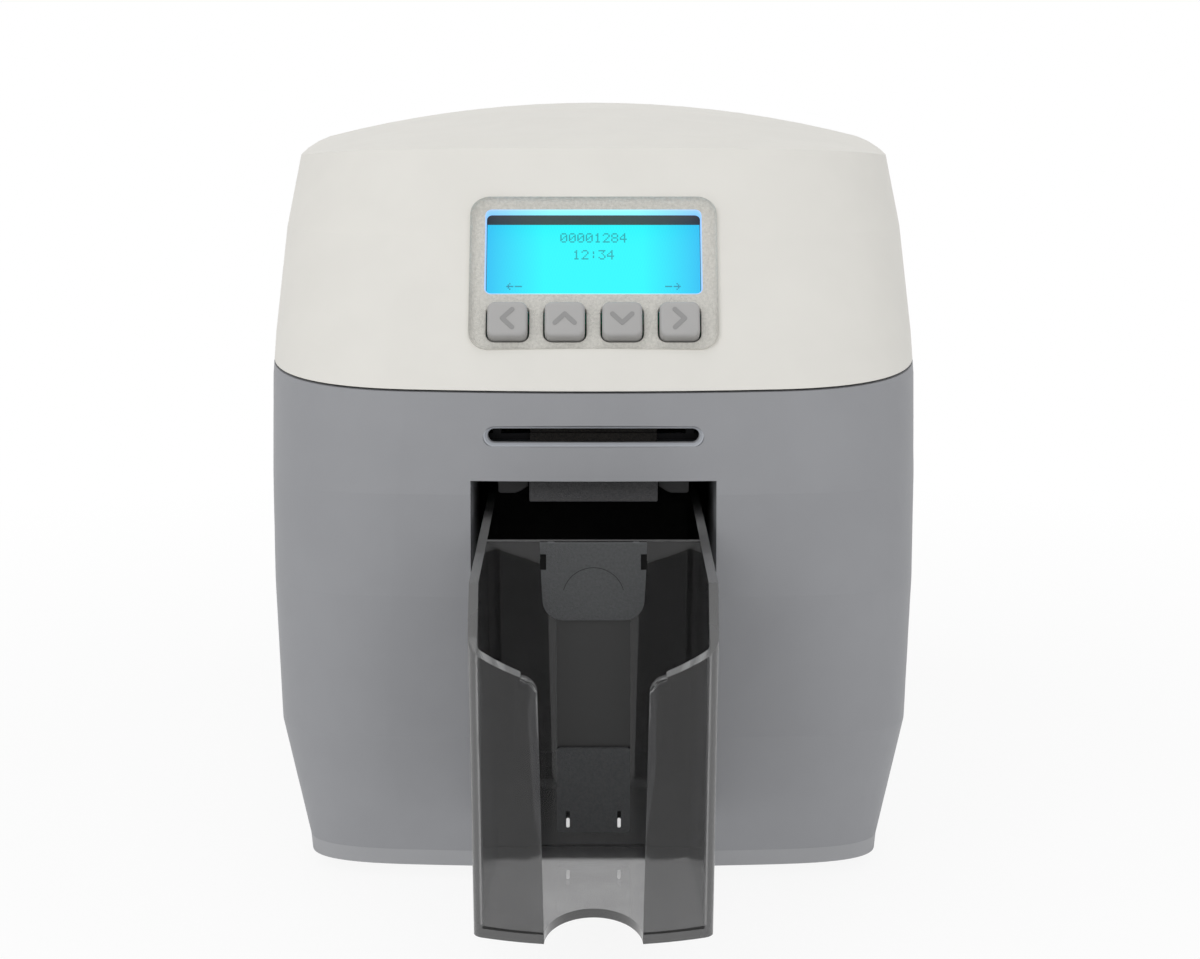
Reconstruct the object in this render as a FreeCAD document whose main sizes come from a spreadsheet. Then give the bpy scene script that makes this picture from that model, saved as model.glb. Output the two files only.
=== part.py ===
import FreeCAD, Part
import math
import os
import re

import MeshPart
import Sketcher
from FreeCAD import Placement, Rotation, Vector

# Card printer: a moulded lower casing and a hinged cover over a sheet-metal chassis, with a smoked
# card hopper that slides into the front. X runs across, Y runs to the rear and Z runs up. Pieces are
# drawn with Y zero on the foremost point of the casing and Z zero on the table, and each piece's
# placement then moves it back by the datum, to the middle of the printer's footprint.

doc = FreeCAD.newDocument("CardPrinter")

# Driving dimensions, in millimetres and degrees
SIZES = {
    # Casing
    "body_long": 346, "body_half": 98.3, "foot_high": 5, "crease_high": 219.5, "crown_high": 228.6,
    "crown_drop": 10.5, "lean_back": 52, "bow": 2.5, "corner_wide": 30, "corner_spread": 20,
    "corner_deep": 22, "corner_grow": 34, "side_bulge": 4.3, "rear_taper": 1, "rear_round": 25, "rear_curve": 26,
    "rear_high": 220, "wall": 2.8, "seam_front": 149, "seam_slope": 6.5, "seam_gap": 0.7,
    # Hopper mouth and hand-feed slot in the casing's front
    "mouth_half": 36, "mouth_high": 124, "mouth_deep": 12, "mouth_edge": 2.4,
    "path_high": 137, "slot_half": 31, "slot_tall": 4.4, "slot_bevel": 1.6, "slot_lift": 0.7, "guide_edge": 2.4,
    "guide_deep": 4, "guide_tall": 12, "guide_open": 5.4, "brush_half": 18.7, "brush_deep": 2.2,
    "brush_gap": 0.15,
    # Feet and base tray
    "foot_radius": 9, "foot_inset": 32.7, "foot_front": 42, "foot_back": 38, "foot_taper": 1.2,
    "tray_floor": 3,
    # Hopper
    "hopper_half": 32.5, "hopper_draft": 1.1, "hopper_reach": 102, "hopper_bow": 7, "hopper_rear": 74,
    "hopper_floor": 20.7, "hopper_high": 112.5, "hopper_lip": 98, "hopper_bend": 82,
    "hopper_wall": 2.5, "hopper_corner": 4, "finger_half": 14.4, "finger_narrow": 1.5, "finger_round": 4.3,
    "notch_deep": 21.5, "divider_back": 25,
    # Card gate and lower pad on the hopper's divider
    "gate_half": 15, "gate_tall": 23.5, "gate_thick": 1.8, "gate_round": 6, "thumb_radius": 9,
    "thumb_deep": 0.5, "clip_across": 14, "clip_wide": 1.1, "clip_tall": 5, "clip_low": 9,
    "strip_half": 10.4, "pad_low": 28.2, "pad_tall": 24.8, "pad_thick": 1.6, "pad_slot": 7.3,
    "slide_gap": 0.4,
    # Dock that holds the hopper
    "dock_rear": 88, "dock_wall": 2.4, "ledge_thick": 2.4, "ledge_wide": 3.2, "run_gap": 0.35,
    "cowl_half": 20.5, "cowl_deep": 9, "cowl_tall": 6.6, "cowl_round": 2,
    # Display panel
    "panel_level": 183, "panel_lean": 31, "panel_sink": 2.2, "panel_wide": 74, "panel_tall": 50,
    "panel_round": 5.8, "bezel_thick": 3.4, "fit_gap": 0.3, "well_wide": 80, "well_tall": 56,
    "well_deep": 5.6, "screen_wide": 64.6, "screen_tall": 27.4, "screen_up": 7.7, "screen_sink": 9.6,
    "glass_thick": 1.2, "frame_wide": 1.4, "board_thick": 1.6, "board_sink": 12.6,
    "key_side": 12.2, "key_pitch": 17, "key_below": 15.2, "key_proud": 3.6, "key_round": 1.2,
    "key_edge": 0.7, "key_flange": 0.9, "key_lip": 0.9, "key_travel": 1, "stem_side": 3,
    "stem_gap": 0.1, "switch_side": 6, "switch_tall": 1.8, "ledge_lap": 2, "post_across": 37,
    "post_up": 4, "post_radius": 2.4, "post_screw": 1, "post_long": 2.4,
    # Chassis
    "chassis_inset": 37.7, "sheet": 1.6, "chassis_front": 34, "chassis_back": 28, "plate_high": 150,
    "tower_high": 192, "tower_half": 16, "deck_thick": 2.2, "deck_front": 17, "deck_back": 18,
    "deck_drop": 0.8, "window_half": 32, "window_reach": 9, "rail_high": 1.6, "rail_wide": 2.5,
    "card_half": 27.3, "flange_out": 8, "lightening_back": 150, "lightening_level": 70,
    "lightening_radius": 24, "pinch_journal": 2, "pinch_half": 26, "pinch_end": 1,
    "shaft_end": 2, "pulley_off": 1.4,
    "bar_radius": 3, "bar_front": 100, "bar_back": 22, "bar_level": 45, "bar_top": 105,
    # Rollers and drive
    "roller_radius": 6.5, "roller_half": 30, "shaft_radius": 3, "shaft_gap": 0.08,
    "feed_back": 98, "platen_back": 170, "transport_back": 245, "pinch_radius": 4.5,
    "card_thick": 0.8, "pick_back": 40, "pick_radius": 7.8, "pick_half": 14, "pick_high": 121,
    "pick_shaft": 2.5, "pulley_radius": 9, "pulley_long": 7, "pulley_rim": 1.6, "rim_thick": 0.8,
    "pulley_teeth": 10, "tooth_deep": 0.7, "belt_thick": 1.3, "belt_gap": 0.35, "motor_back": 205,
    "motor_level": 85, "motor_radius": 18, "motor_long": 32, "motor_pulley": 6.5,
    "motor_shaft": 2.5, "pilot_radius": 8, "pilot_thick": 1.2,
    # Ribbon and printhead
    "spool_level": 178, "supply_back": 118, "takeup_back": 228, "supply_radius": 17,
    "takeup_radius": 9, "spool_half": 27.5, "flange_radius": 19, "flange_thick": 1.6,
    "hub_radius": 4, "hub_reach": 3, "film_thick": 0.3, "film_half": 26.5, "film_drop": 1.2,
    "head_half": 29, "head_front": 161, "head_deep": 18, "head_tall": 12, "head_lift": 2.2,
    "head_nose": 3.5, "bracket_half": 31, "bracket_thick": 2, "bracket_deep": 24, "bracket_drop": 26,
    "rib_across": 22, "rib_thick": 3, "rib_deep": 16,
    # Hinge and release button
    "hinge_inset": 8, "hinge_side": 38.7, "eye_radius": 3.8, "eye_half": 4, "lug_long": 4,
    "lug_gap": 0.4, "lug_radius": 4.4, "pin_radius": 1.9, "leg_long": 24, "leg_foot": 9,
    "button_back": 74, "button_level": 136, "button_long": 16, "button_tall": 7,
    "button_proud": 0.8, "button_deep": 5.6, "button_flange": 1.5, "button_lip": 2,
    "box_thick": 2, "hook_thick": 2.5, "hook_half": 6, "hook_lift": 14, "hook_gap": 0.8,
    "spring_radius": 2.6, "spring_wire": 0.5, "spring_long": 8, "spring_turns": 3,
    # Rear panel, sockets and main board
    "panel_side": 40.7, "panel_base": 24, "panel_top": 66, "panel_lap": 3, "plate_thick": 2,
    "jack_inset": 18, "jack_level": 44, "jack_radius": 4.5, "jack_side": 12, "jack_long": 14,
    "usb_across": 10, "usb_wide": 12, "usb_tall": 11, "lan_across": 16, "lan_wide": 16,
    "lan_tall": 13.5, "socket_deep": 16, "socket_skin": 1, "socket_proud": 0.6,
    "pcb_front": 92, "pcb_back": 28, "pcb_low": 26, "pcb_high": 122, "pcb_off": 7.5,
    "spacer_radius": 3, "chip_side": 22, "chip_thick": 2.4, "vent_long": 34, "vent_tall": 3,
    "vent_pitch": 7,
    # One overrun for every cut
    "overrun": 4,
}

# Casing sections: shares of crease height above the feet, of body_half and of lean_back
SECTION_SHARES = [
    (0, 0.884, 0.17), (0.0224, 0.889, 0.163), (0.1977, 0.966, 0.0096), (0.3963, 0.988, 0),
    (0.5361, 0.997, 0.0577), (0.676, 1.004, 0.192), (0.732, 1.003, 0.322), (0.8765, 0.9876, 0.673),
    (1, 0.951, 1), (1.09, 0.915, 1.22),
]
# Inner faces follow fewer sections
CAVITY_SHARES = [SECTION_SHARES[row] for row in (0, 1, 2, 4, 5, 7, 9)]
# Crown sections: shares of body_long, of the crown's rise over the crease, and of crown_drop
CROWN_SHARES = [
    (0.1156, -0.363, 0.05), (0.2, 0.311, 0.66), (0.28, 0.741, 1.03), (0.3555, 0.956, 1.1), (0.46, 1, 1.08),
    (0.578, 0.89, 1), (0.72, 0.571, 0.97), (0.867, 0.066, 0.87), (1.04, -0.813, 0.78),
]
# The inner face of the dome follows fewer sections too
CEILING_SHARES = [CROWN_SHARES[row] for row in (0, 3, 5, 7, 8)]
# Inner faces bend at these shares of each arc
INNER_BEND_SHARES = (1 / 3, 2 / 3)
CEILING_BEND_SHARES = (0.25, 0.5, 0.75)
# The crown's arcs are measured at this share of body_half
CROWN_EDGE_SHARE = 0.9
TANGENT_SHARE = 0.6
BULGE_FADE_SHARE = 0.75
BUTTON_BULGE_SHARE = 0.14
VENT_ROWS = 6
SPACER_SIDES = 6
SCREW_SIDES = 8


class Sized:
    """Gives each size by its name."""

    def __init__(self, table):
        self.__dict__.update(table)


size = Sized(SIZES)


def face_at(level):
    """Y of the casing's front face on the centre line at a height."""
    share = (level - size.foot_high) / (size.crease_high - size.foot_high)
    for low, high in zip(SECTION_SHARES, SECTION_SHARES[1:]):
        if low[0] <= share <= high[0]:
            part = (share - low[0]) / (high[0] - low[0])
            return size.lean_back * (low[2] + part * (high[2] - low[2]))
    return 0


def seam_at(back):
    """Height of the sloping seam at a distance behind the front face."""
    return size.seam_front + (back - face_at(size.seam_front)) * math.tan(math.radians(size.seam_slope))


def hopper_nose():
    """Distance of the hopper's foremost edge, beside its finger slot, ahead of the casing."""
    half = size.hopper_half - size.hopper_draft
    radius = (half ** 2 + size.hopper_bow ** 2) / (2 * size.hopper_bow)
    slot = size.finger_half - size.finger_narrow
    return size.hopper_reach - radius + math.sqrt(radius ** 2 - slot ** 2)


LEAN = math.radians(size.panel_lean)
# Places worked out from the driving dimensions, kept in the same sheet
PLACES = {
    "datum": (size.body_long - hopper_nose()) / 2,
    "panel_back": face_at(size.panel_level) + size.panel_sink * math.cos(LEAN),
    "panel_high": size.panel_level - size.panel_sink * math.sin(LEAN),
    "hinge_back": size.body_long - size.hinge_inset,
    "hinge_high": seam_at(size.body_long - size.hinge_inset) + size.hinge_inset + size.seam_gap,
    "tray_top": size.foot_high + size.tray_floor,
    "rim_high": size.foot_high + SECTION_SHARES[1][0] * (size.crease_high - size.foot_high),
    "shaft_high": size.path_high - size.roller_radius,
    "pinch_high": size.path_high + size.card_thick + size.pinch_radius,
    "button_out": size.body_half + size.side_bulge * BUTTON_BULGE_SHARE,
    "deck_high": size.path_high - size.deck_drop,
    "bracket_top": size.crown_high - size.bracket_drop,
    "foot_across": size.body_half - size.foot_inset,
    "foot_rear": size.body_long - size.foot_back,
    "chassis_half": size.body_half - size.chassis_inset,
    "chassis_rear": size.body_long - size.chassis_back,
    "deck_rear": size.body_long - size.chassis_back - size.deck_back,
    "bar_rear": size.body_long - size.chassis_back - size.bar_back,
    "pcb_rear": size.body_long - size.chassis_back - size.pcb_back,
    "hinge_across": size.body_half - size.hinge_side,
    "panel_out": size.body_half - size.panel_side,
    "jack_across": size.body_half - size.panel_side - size.jack_inset,
}
CELLS = {**SIZES, **PLACES}
size = Sized(CELLS)

sheet = doc.addObject("Spreadsheet::Sheet", "Sizes")
for row, (alias, value) in enumerate(CELLS.items(), start=1):
    sheet.set("A%d" % row, alias)
    sheet.set("B%d" % row, str(value))
    sheet.setAlias("B%d" % row, alias)
doc.recompute()

TURN = {
    "x": Rotation(Vector(0, 1, 0), 90),
    "y": Rotation(Vector(1, 0, 0), -90),
    "z": Rotation(),
}
CORNERS = {}
SUB_PARTS = []


def bound(text):
    """Turns sizes named in a sum into references to the sheet's cells."""
    return re.sub(r"[a-z][a-z_]*", lambda word: sheet_word(word.group()), str(text))


def sheet_word(word):
    return "Sizes." + word if word in CELLS else word


def put(item, corner):
    """Binds an object's position to sums of sizes."""
    CORNERS[item.Name] = corner
    for axis, text in zip("xyz", corner):
        item.setExpression("Placement.Base." + axis, bound(text))
    return item


def sub_part(item, label):
    """Names a finished piece and moves it from the front face to the datum."""
    across, back, up = CORNERS.get(item.Name, ("0", "0", "0"))
    put(item, (across, "%s - datum" % back, up))
    item.Label = label
    SUB_PARTS.append(item)
    return item


def panel_part(item, label):
    """Names a finished piece that is drawn flat and lies on the leaning display panel."""
    item.Placement = Placement(Vector(), Rotation(Vector(1, 0, 0), 90 - size.panel_lean))
    item.setExpression("Placement.Rotation.Angle", bound("90 - panel_lean"))
    put(item, ("0", "panel_back - datum", "panel_high"))
    item.Label = label
    SUB_PARTS.append(item)
    return item


def box(name, lengths, corner):
    item = doc.addObject("Part::Box", name)
    for side, text in zip(("Length", "Width", "Height"), lengths):
        item.setExpression(side, bound(text))
    return put(item, corner)


def rod(name, radius, length, start, axis="x"):
    item = doc.addObject("Part::Cylinder", name)
    item.setExpression("Radius", bound(radius))
    item.setExpression("Height", bound(length))
    item.Placement = Placement(Vector(), TURN[axis])
    return put(item, start)


def joined(name, items):
    item = doc.addObject("Part::MultiFuse", name)
    item.Shapes = items
    return item


def cut(name, base, tools):
    item = doc.addObject("Part::Cut", name)
    item.Base = base
    item.Tool = tools[0] if len(tools) == 1 else joined(name + "Tools", tools)
    return item


def feature(label, shape):
    item = doc.addObject("Part::Feature", label)
    item.Shape = shape
    return sub_part(item, label)


def new_body(name):
    return doc.addObject("PartDesign::Body", name)


def new_sketch(body, role, name, offset):
    sketch = body.newObject("Sketcher::SketchObject", name)
    plane = [item for item in body.Origin.OriginFeatures if item.Role == role][0]
    sketch.AttachmentSupport = [(plane, "")]
    sketch.MapMode = "FlatFace"
    sketch.setExpression("AttachmentOffset.Base.z", bound(offset))
    return sketch


def fix(sketch, geometry, point, tag, place):
    """Drives one sketch point by two sums of sizes."""
    for kind, axis, text in zip(("DistanceX", "DistanceY"), "xy", place):
        row = sketch.addConstraint(Sketcher.Constraint(kind, -1, 1, geometry, point, 1.0))
        sketch.renameConstraint(row, tag + axis)
        sketch.setExpression("Constraints." + tag + axis, bound(text))


def add_loop(sketch, points, tag="corner"):
    """Adds a closed run of straight lines whose corners are sums of sizes."""
    first = sketch.GeometryCount
    count = len(points)
    start = [Vector(math.cos(2 * math.pi * k / count), math.sin(2 * math.pi * k / count), 0) for k in range(count)]
    for k in range(count):
        sketch.addGeometry(Part.LineSegment(start[k], start[(k + 1) % count]), False)
    for k in range(count):
        following = first + (k + 1) % count
        sketch.addConstraint(Sketcher.Constraint("Coincident", first + k, 2, following, 1))
    for k, place in enumerate(points):
        fix(sketch, first + k, 1, "%s%d" % (tag, k), place)


def add_circle(sketch, centre, radius, tag):
    row = sketch.addGeometry(Part.Circle(Vector(0, 0, 0), Vector(0, 0, 1), 1), False)
    held = sketch.addConstraint(Sketcher.Constraint("Radius", row, 1.0))
    sketch.renameConstraint(held, tag + "radius")
    sketch.setExpression("Constraints." + tag + "radius", bound(radius))
    fix(sketch, row, 3, tag, centre)


def rectangle(wide, tall, across="0", up="0"):
    """Corners of a rectangle about a centre."""
    return [
        ("%s - %s / 2" % (across, wide), "%s - %s / 2" % (up, tall)),
        ("%s + %s / 2" % (across, wide), "%s - %s / 2" % (up, tall)),
        ("%s + %s / 2" % (across, wide), "%s + %s / 2" % (up, tall)),
        ("%s - %s / 2" % (across, wide), "%s + %s / 2" % (up, tall)),
    ]


def pad(body, role, points, length, offset="0", name="Pad", backwards=False):
    sketch = new_sketch(body, role, body.Name + name + "Sketch", offset)
    add_loop(sketch, points)
    return pad_sketch(body, sketch, length, name, backwards)


def pad_round(body, role, centre, radius, length, offset="0", name="Round", backwards=False):
    sketch = new_sketch(body, role, body.Name + name + "Sketch", offset)
    add_circle(sketch, centre, radius, "disc")
    return pad_sketch(body, sketch, length, name, backwards)


def pad_sketch(body, sketch, length, name, backwards):
    item = body.newObject("PartDesign::Pad", body.Name + name)
    item.Profile = sketch
    item.Reversed = backwards
    item.setExpression("Length", bound(length))
    sketch.Visibility = False
    doc.recompute()
    return item


def pocket(body, role, loops, circles=(), offset="0", length=None, name="Pocket", backwards=False):
    """Cuts loops and circles through the body, or to a depth."""
    sketch = new_sketch(body, role, body.Name + name + "Sketch", offset)
    for k, points in enumerate(loops):
        add_loop(sketch, points, "loop%dcorner" % k)
    for k, (centre, radius) in enumerate(circles):
        add_circle(sketch, centre, radius, "hole%d" % k)
    doc.recompute()
    before = body.Shape.Volume
    item = body.newObject("PartDesign::Pocket", body.Name + name)
    item.Profile = sketch
    item.Reversed = backwards
    if length is None:
        item.Type = 1
        item.Midplane = True
    else:
        item.setExpression("Length", bound(length))
    doc.recompute()
    if body.Shape.Volume >= before:
        raise ValueError("the pocket %s cuts nothing" % item.Name)
    return item


def soften(body, chosen, radius, name="Fillet", kind="PartDesign::Fillet", prop="Radius"):
    """Rounds or bevels the edges that the test picks."""
    doc.recompute()
    edges = ["Edge%d" % (k + 1) for k, edge in enumerate(body.Shape.Edges) if chosen(edge)]
    item = body.newObject(kind, body.Name + name)
    item.Base = (body.Tip if body.Tip != item else item.BaseFeature, edges)
    item.setExpression(prop, bound(radius))
    doc.recompute()
    return item


def along(direction):
    """Makes a test for straight edges that run along a direction."""

    def chosen(edge):
        ends = edge.Vertexes
        if len(ends) != 2:
            return False
        run = ends[1].Point - ends[0].Point
        return run.Length > 0 and run.normalize().cross(Vector(direction)).Length < math.sin(math.radians(1))

    return chosen


def at_level(level):
    """Makes a test for edges that lie flat at one height of the drawing."""

    def chosen(edge):
        spread = edge.BoundBox
        return abs(spread.ZMin - level) < size.fit_gap / 10 and abs(spread.ZMax - level) < size.fit_gap / 10

    return chosen


def prism(points, start, end):
    """Solid with a side profile of (back, up) points, run across from start to end."""
    corners = [Vector(start, back, up) for back, up in points]
    face = Part.Face(Part.makePolygon(corners + corners[:1]))
    return face.extrude(Vector(end - start, 0, 0))


def slab(across, back, up):
    """Box between two limits on each axis."""
    low = Vector(across[0], back[0], up[0])
    return Part.makeBox(across[1] - across[0], back[1] - back[0], up[1] - up[0], low)


# Casing shell


def section(shares, inset):
    """One level section of the casing, drawn in by an inset. Inner faces are drawn with straight lines."""
    rise, wide, front = shares
    up = size.foot_high + rise * (size.crease_high - size.foot_high)
    half = wide * size.body_half - inset
    nose = front * size.lean_back + inset
    rear = size.body_long - inset
    deep = size.corner_deep + size.corner_grow * rise
    radius = size.rear_round - inset
    rear_half = half - size.rear_taper
    bulge = size.side_bulge * (1 - BULGE_FADE_SHARE * rise)
    corner_wide = size.corner_wide + size.corner_spread * rise
    front_half = half - corner_wide
    lean = 2 * size.bow / front_half
    front_end = Vector(front_half, nose + size.bow, up)
    side_start = Vector(half, nose + deep, up)
    reach = TANGENT_SHARE * corner_wide
    poles = [
        front_end,
        front_end + Vector(reach, reach * lean, 0),
        side_start - Vector(0, TANGENT_SHARE * deep, 0),
        side_start,
    ]
    side_end = Vector(rear_half, rear - radius, up)
    middle = (side_start + side_end) / 2 + Vector(bulge, 0, 0)
    diagonal = radius * math.sqrt(0.5)
    bend = Vector(rear_half - radius + diagonal, rear - radius + diagonal, up)
    rear_end = Vector(rear_half - radius, rear, up)
    corner = Part.BezierCurve()
    corner.setPoles(poles)
    if inset:
        bends = [corner.value(share) for share in INNER_BEND_SHARES]
        rear_bends = [corner_point(side_end, rear_end, radius, share) for share in INNER_BEND_SHARES]
        right = [front_end] + bends + [side_start, middle, side_end] + rear_bends + [rear_end]
        left = [mirrored(point) for point in reversed(right)]
        ring = [Vector(0, nose, up)] + right + left
        return Part.makePolygon(ring + ring[:1])
    other = Part.BezierCurve()
    other.setPoles([mirrored(point) for point in reversed(poles)])
    return Part.Wire([
        Part.Arc(mirrored(front_end), Vector(0, nose, up), front_end).toShape(),
        corner.toShape(),
        Part.Arc(side_start, middle, side_end).toShape(),
        Part.Arc(side_end, bend, rear_end).toShape(),
        Part.LineSegment(rear_end, mirrored(rear_end)).toShape(),
        Part.Arc(mirrored(rear_end), mirrored(bend), mirrored(side_end)).toShape(),
        Part.Arc(mirrored(side_end), mirrored(middle), mirrored(side_start)).toShape(),
        other.toShape(),
    ])


def mirrored(point):
    return Vector(-point.x, point.y, point.z)


def corner_point(start, end, radius, share):
    """Point at a share of the way round a rear corner."""
    turn = math.radians(90 * share)
    return Vector(end.x + radius * math.cos(turn), start.y + radius * math.sin(turn), start.z)


def crown_section(shares, inset):
    """Cross-section of the space under the domed top."""
    along_share, rise_share, drop_share = shares
    back = along_share * size.body_long
    top = size.crease_high + rise_share * (size.crown_high - size.crease_high) - inset
    reach = size.body_half + size.rear_curve
    edge = top - drop_share * size.crown_drop * (reach / (CROWN_EDGE_SHARE * size.body_half)) ** 2
    low = size.foot_high - size.overrun
    left = Vector(-reach, back, edge)
    right = Vector(reach, back, edge)
    arc = Part.Arc(left, Vector(0, back, top), right)
    if inset:
        ring = [right, Vector(reach, back, low), Vector(-reach, back, low), left]
        spread = arc.LastParameter - arc.FirstParameter
        bends = [arc.value(arc.FirstParameter + spread * share) for share in CEILING_BEND_SHARES]
        return Part.makePolygon(ring + bends + [right])
    return Part.Wire([
        arc.toShape(),
        Part.LineSegment(right, Vector(reach, back, low)).toShape(),
        Part.LineSegment(Vector(reach, back, low), Vector(-reach, back, low)).toShape(),
        Part.LineSegment(Vector(-reach, back, low), left).toShape(),
    ])


def under_crown(crown, inset):
    """Space under the domed top, with its rounded rear edge."""
    dome = Part.makeLoft([crown_section(shares, inset) for shares in crown], True, True)
    front = crown[0][0] * size.body_long
    reach = size.body_half + size.rear_curve
    low = size.foot_high - size.overrun
    shin = slab((-reach, reach), (-size.overrun, front), (low, size.seam_front + size.lean_back))
    curve = size.rear_curve - inset
    rear = size.body_long - inset
    top = size.rear_high - inset
    far = size.crown_high + size.overrun
    ahead = -size.overrun
    diagonal = curve * math.sqrt(0.5)
    rim = Part.Arc(
        Vector(-reach, rear - curve, top),
        Vector(-reach, rear - curve + diagonal, top - curve + diagonal),
        Vector(-reach, rear, top - curve),
    ).toShape()
    points = [Vector(-reach, rear, top - curve), Vector(-reach, rear, low), Vector(-reach, ahead, low),
              Vector(-reach, ahead, far), Vector(-reach, rear - curve, far), Vector(-reach, rear - curve, top)]
    side = Part.Wire([rim] + Part.makePolygon(points).Edges)
    profile = Part.Face(side).extrude(Vector(2 * reach, 0, 0))
    return dome.fuse(shin).common(profile)


def hull(shares, crown, inset):
    """The casing's whole outer form, drawn in by an inset."""
    sides = Part.makeLoft([section(row, inset) for row in shares], True, True)
    return sides.common(under_crown(crown, inset))


def beside_seam(lift, upwards):
    """Everything above or below the sloping seam."""
    reach = size.body_half + size.rear_curve
    front = -size.overrun
    rear = size.body_long + size.overrun
    far = size.crown_high + size.rear_curve if upwards else -size.overrun
    return prism([(front, seam_at(front) + lift), (rear, seam_at(rear) + lift), (rear, far), (front, far)],
                 -reach, reach)


def stadium(half, tall, back):
    """Upright slot outline with round ends."""
    radius = tall / 2
    flat = half - radius
    left = Vector(-flat, back, size.path_high)
    right = Vector(flat, back, size.path_high)
    up = Vector(0, 0, radius)
    out = Vector(radius, 0, 0)
    return Part.Wire([
        Part.LineSegment(left + up, right + up).toShape(),
        Part.Arc(right + up, right + out, right - up).toShape(),
        Part.LineSegment(right - up, left - up).toShape(),
        Part.Arc(left - up, left - out, left + up).toShape(),
    ])


def hand_slot():
    """Cut for the hand-feed slot, with its bevelled rim."""
    nose = face_at(size.path_high)
    start = nose - size.overrun
    deep = size.overrun + size.slot_bevel + size.bow / 4
    lift = deep * size.slot_lift / size.slot_bevel
    mouth = Part.makeLoft([stadium(size.slot_half + deep, size.slot_tall + 2 * lift, start),
                           stadium(size.slot_half, size.slot_tall, start + deep)], True, True)
    neck = Part.Face(stadium(size.slot_half, size.slot_tall, start)).extrude(Vector(0, size.lean_back / 2, 0))
    return mouth.fuse(neck)


def lower_shell():
    """Moulded lower casing: walls from the base rim to the seam."""
    walls = OUTER.cut(CAVITY).common(beside_seam(0, False))
    walls = walls.cut(slab((-size.body_long, size.body_long), (-size.overrun, size.body_long + size.overrun),
                           (0, size.rim_high)))
    half = size.mouth_half
    edge = size.mouth_edge
    frame = slab((-half - edge, half + edge), (-size.overrun, size.mouth_deep),
                 (size.rim_high, size.mouth_high + edge)).common(OUTER)
    walls = walls.fuse(frame)
    walls = walls.cut(slab((-half, half), (-size.overrun, size.mouth_deep + size.overrun),
                           (0, size.mouth_high)))
    walls = walls.cut(dock_room())
    walls = walls.cut(hand_slot())
    lap = size.panel_lap
    window = slab((-size.panel_out + lap, size.panel_out - lap),
                  (size.body_long - size.wall - size.overrun, size.body_long + size.overrun),
                  (size.panel_base + lap, size.panel_top - lap))
    walls = walls.cut(window)
    gap = size.fit_gap
    long = size.button_long / 2 + gap
    tall = size.button_tall / 2 + gap
    walls = walls.fuse(button_housing())
    hole = slab((size.button_out - size.button_deep - size.fit_gap, size.body_half + size.corner_wide),
                (size.button_back - long, size.button_back + long),
                (size.button_level - tall, size.button_level + tall))
    return walls.cut(hole).cut(rear_vents())


def dock_room():
    """Space that the hopper's dock takes behind the mouth."""
    reach = size.mouth_half + size.dock_wall + size.fit_gap
    return slab((-reach, reach), (size.mouth_deep, size.dock_rear),
                (size.tray_top, size.mouth_high + size.dock_wall + size.fit_gap))


def button_housing():
    """Open box on the inside of the wall that guides the release button and its spring."""
    gap = size.run_gap
    skin = size.box_thick
    back = size.button_back
    level = size.button_level
    inner = size.button_out - size.button_deep - size.spring_long
    long = size.button_long / 2 + size.button_lip + gap
    tall = size.button_tall / 2 + size.button_lip + gap
    block = slab((inner - skin, size.body_half + size.side_bulge), (back - long - skin, back + long + skin),
                 (level - tall - skin, level + tall + skin)).common(OUTER)
    room = slab((inner, size.button_out - size.button_deep + size.button_flange + gap), (back - long, back + long),
                (level - tall, level + tall))
    return block.cut(room)


def rear_vents():
    """Rows of vent slots above the rear panel."""
    rows = []
    low = size.panel_top + 2 * size.vent_pitch
    for row in range(VENT_ROWS):
        up = low + row * size.vent_pitch
        for middle in (-size.vent_long * 2 / 3, size.vent_long * 2 / 3):
            rows.append(slab((middle - size.vent_long / 2, middle + size.vent_long / 2),
                             (size.body_long - size.wall - size.overrun, size.body_long + size.overrun),
                             (up, up + size.vent_tall)))
    return rows


def hinge_barrel(radius, start, end):
    """Round bar about the hinge axis, from start to end across."""
    return Part.makeCylinder(radius, end - start, Vector(start, size.hinge_back, size.hinge_high), Vector(1, 0, 0))


def hinge_sides():
    """Centre of each hinge across the printer."""
    return (-size.hinge_across, size.hinge_across)


def hinge_lugs():
    """The cover's two lugs beside each hinge eye."""
    lugs = []
    for middle in hinge_sides():
        for way in (-1, 1):
            near = middle + way * (size.eye_half + size.lug_gap)
            far = near + way * size.lug_long
            start, end = min(near, far), max(near, far)
            web = slab((start, end), (size.hinge_back - size.lug_radius, size.body_long - size.wall / 2),
                       (size.hinge_high, size.hinge_high + size.hinge_inset))
            lugs.append(hinge_barrel(size.lug_radius, start, end).fuse(web.common(OUTER)))
    return lugs


def in_panel(shape):
    """Moves a shape that is drawn flat onto the leaning display panel."""
    moved = shape.copy()
    moved.Placement = Placement(Vector(0, size.panel_back, size.panel_high),
                                Rotation(Vector(1, 0, 0), 90 - size.panel_lean))
    return moved


def flat_block(wide, tall, low, high, round_by=0):
    """Block on the panel between two heights, with rounded upright corners."""
    block = slab((-wide / 2, wide / 2), (-tall / 2, tall / 2), (low, high))
    if round_by:
        block = block.makeFillet(round_by, [edge for edge in block.Edges if along((0, 0, 1))(edge)])
    return block


def panel_posts():
    """Posts behind the display well that hold the display board."""
    posts = []
    for across in (-size.post_across, size.post_across):
        start = Vector(across, size.post_up, -size.board_sink)
        post = Part.makeCylinder(size.post_radius, size.board_sink - size.well_deep, start)
        posts.append(in_panel(post.cut(Part.makeCylinder(size.post_screw, size.post_long, start))))
    return posts


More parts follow.
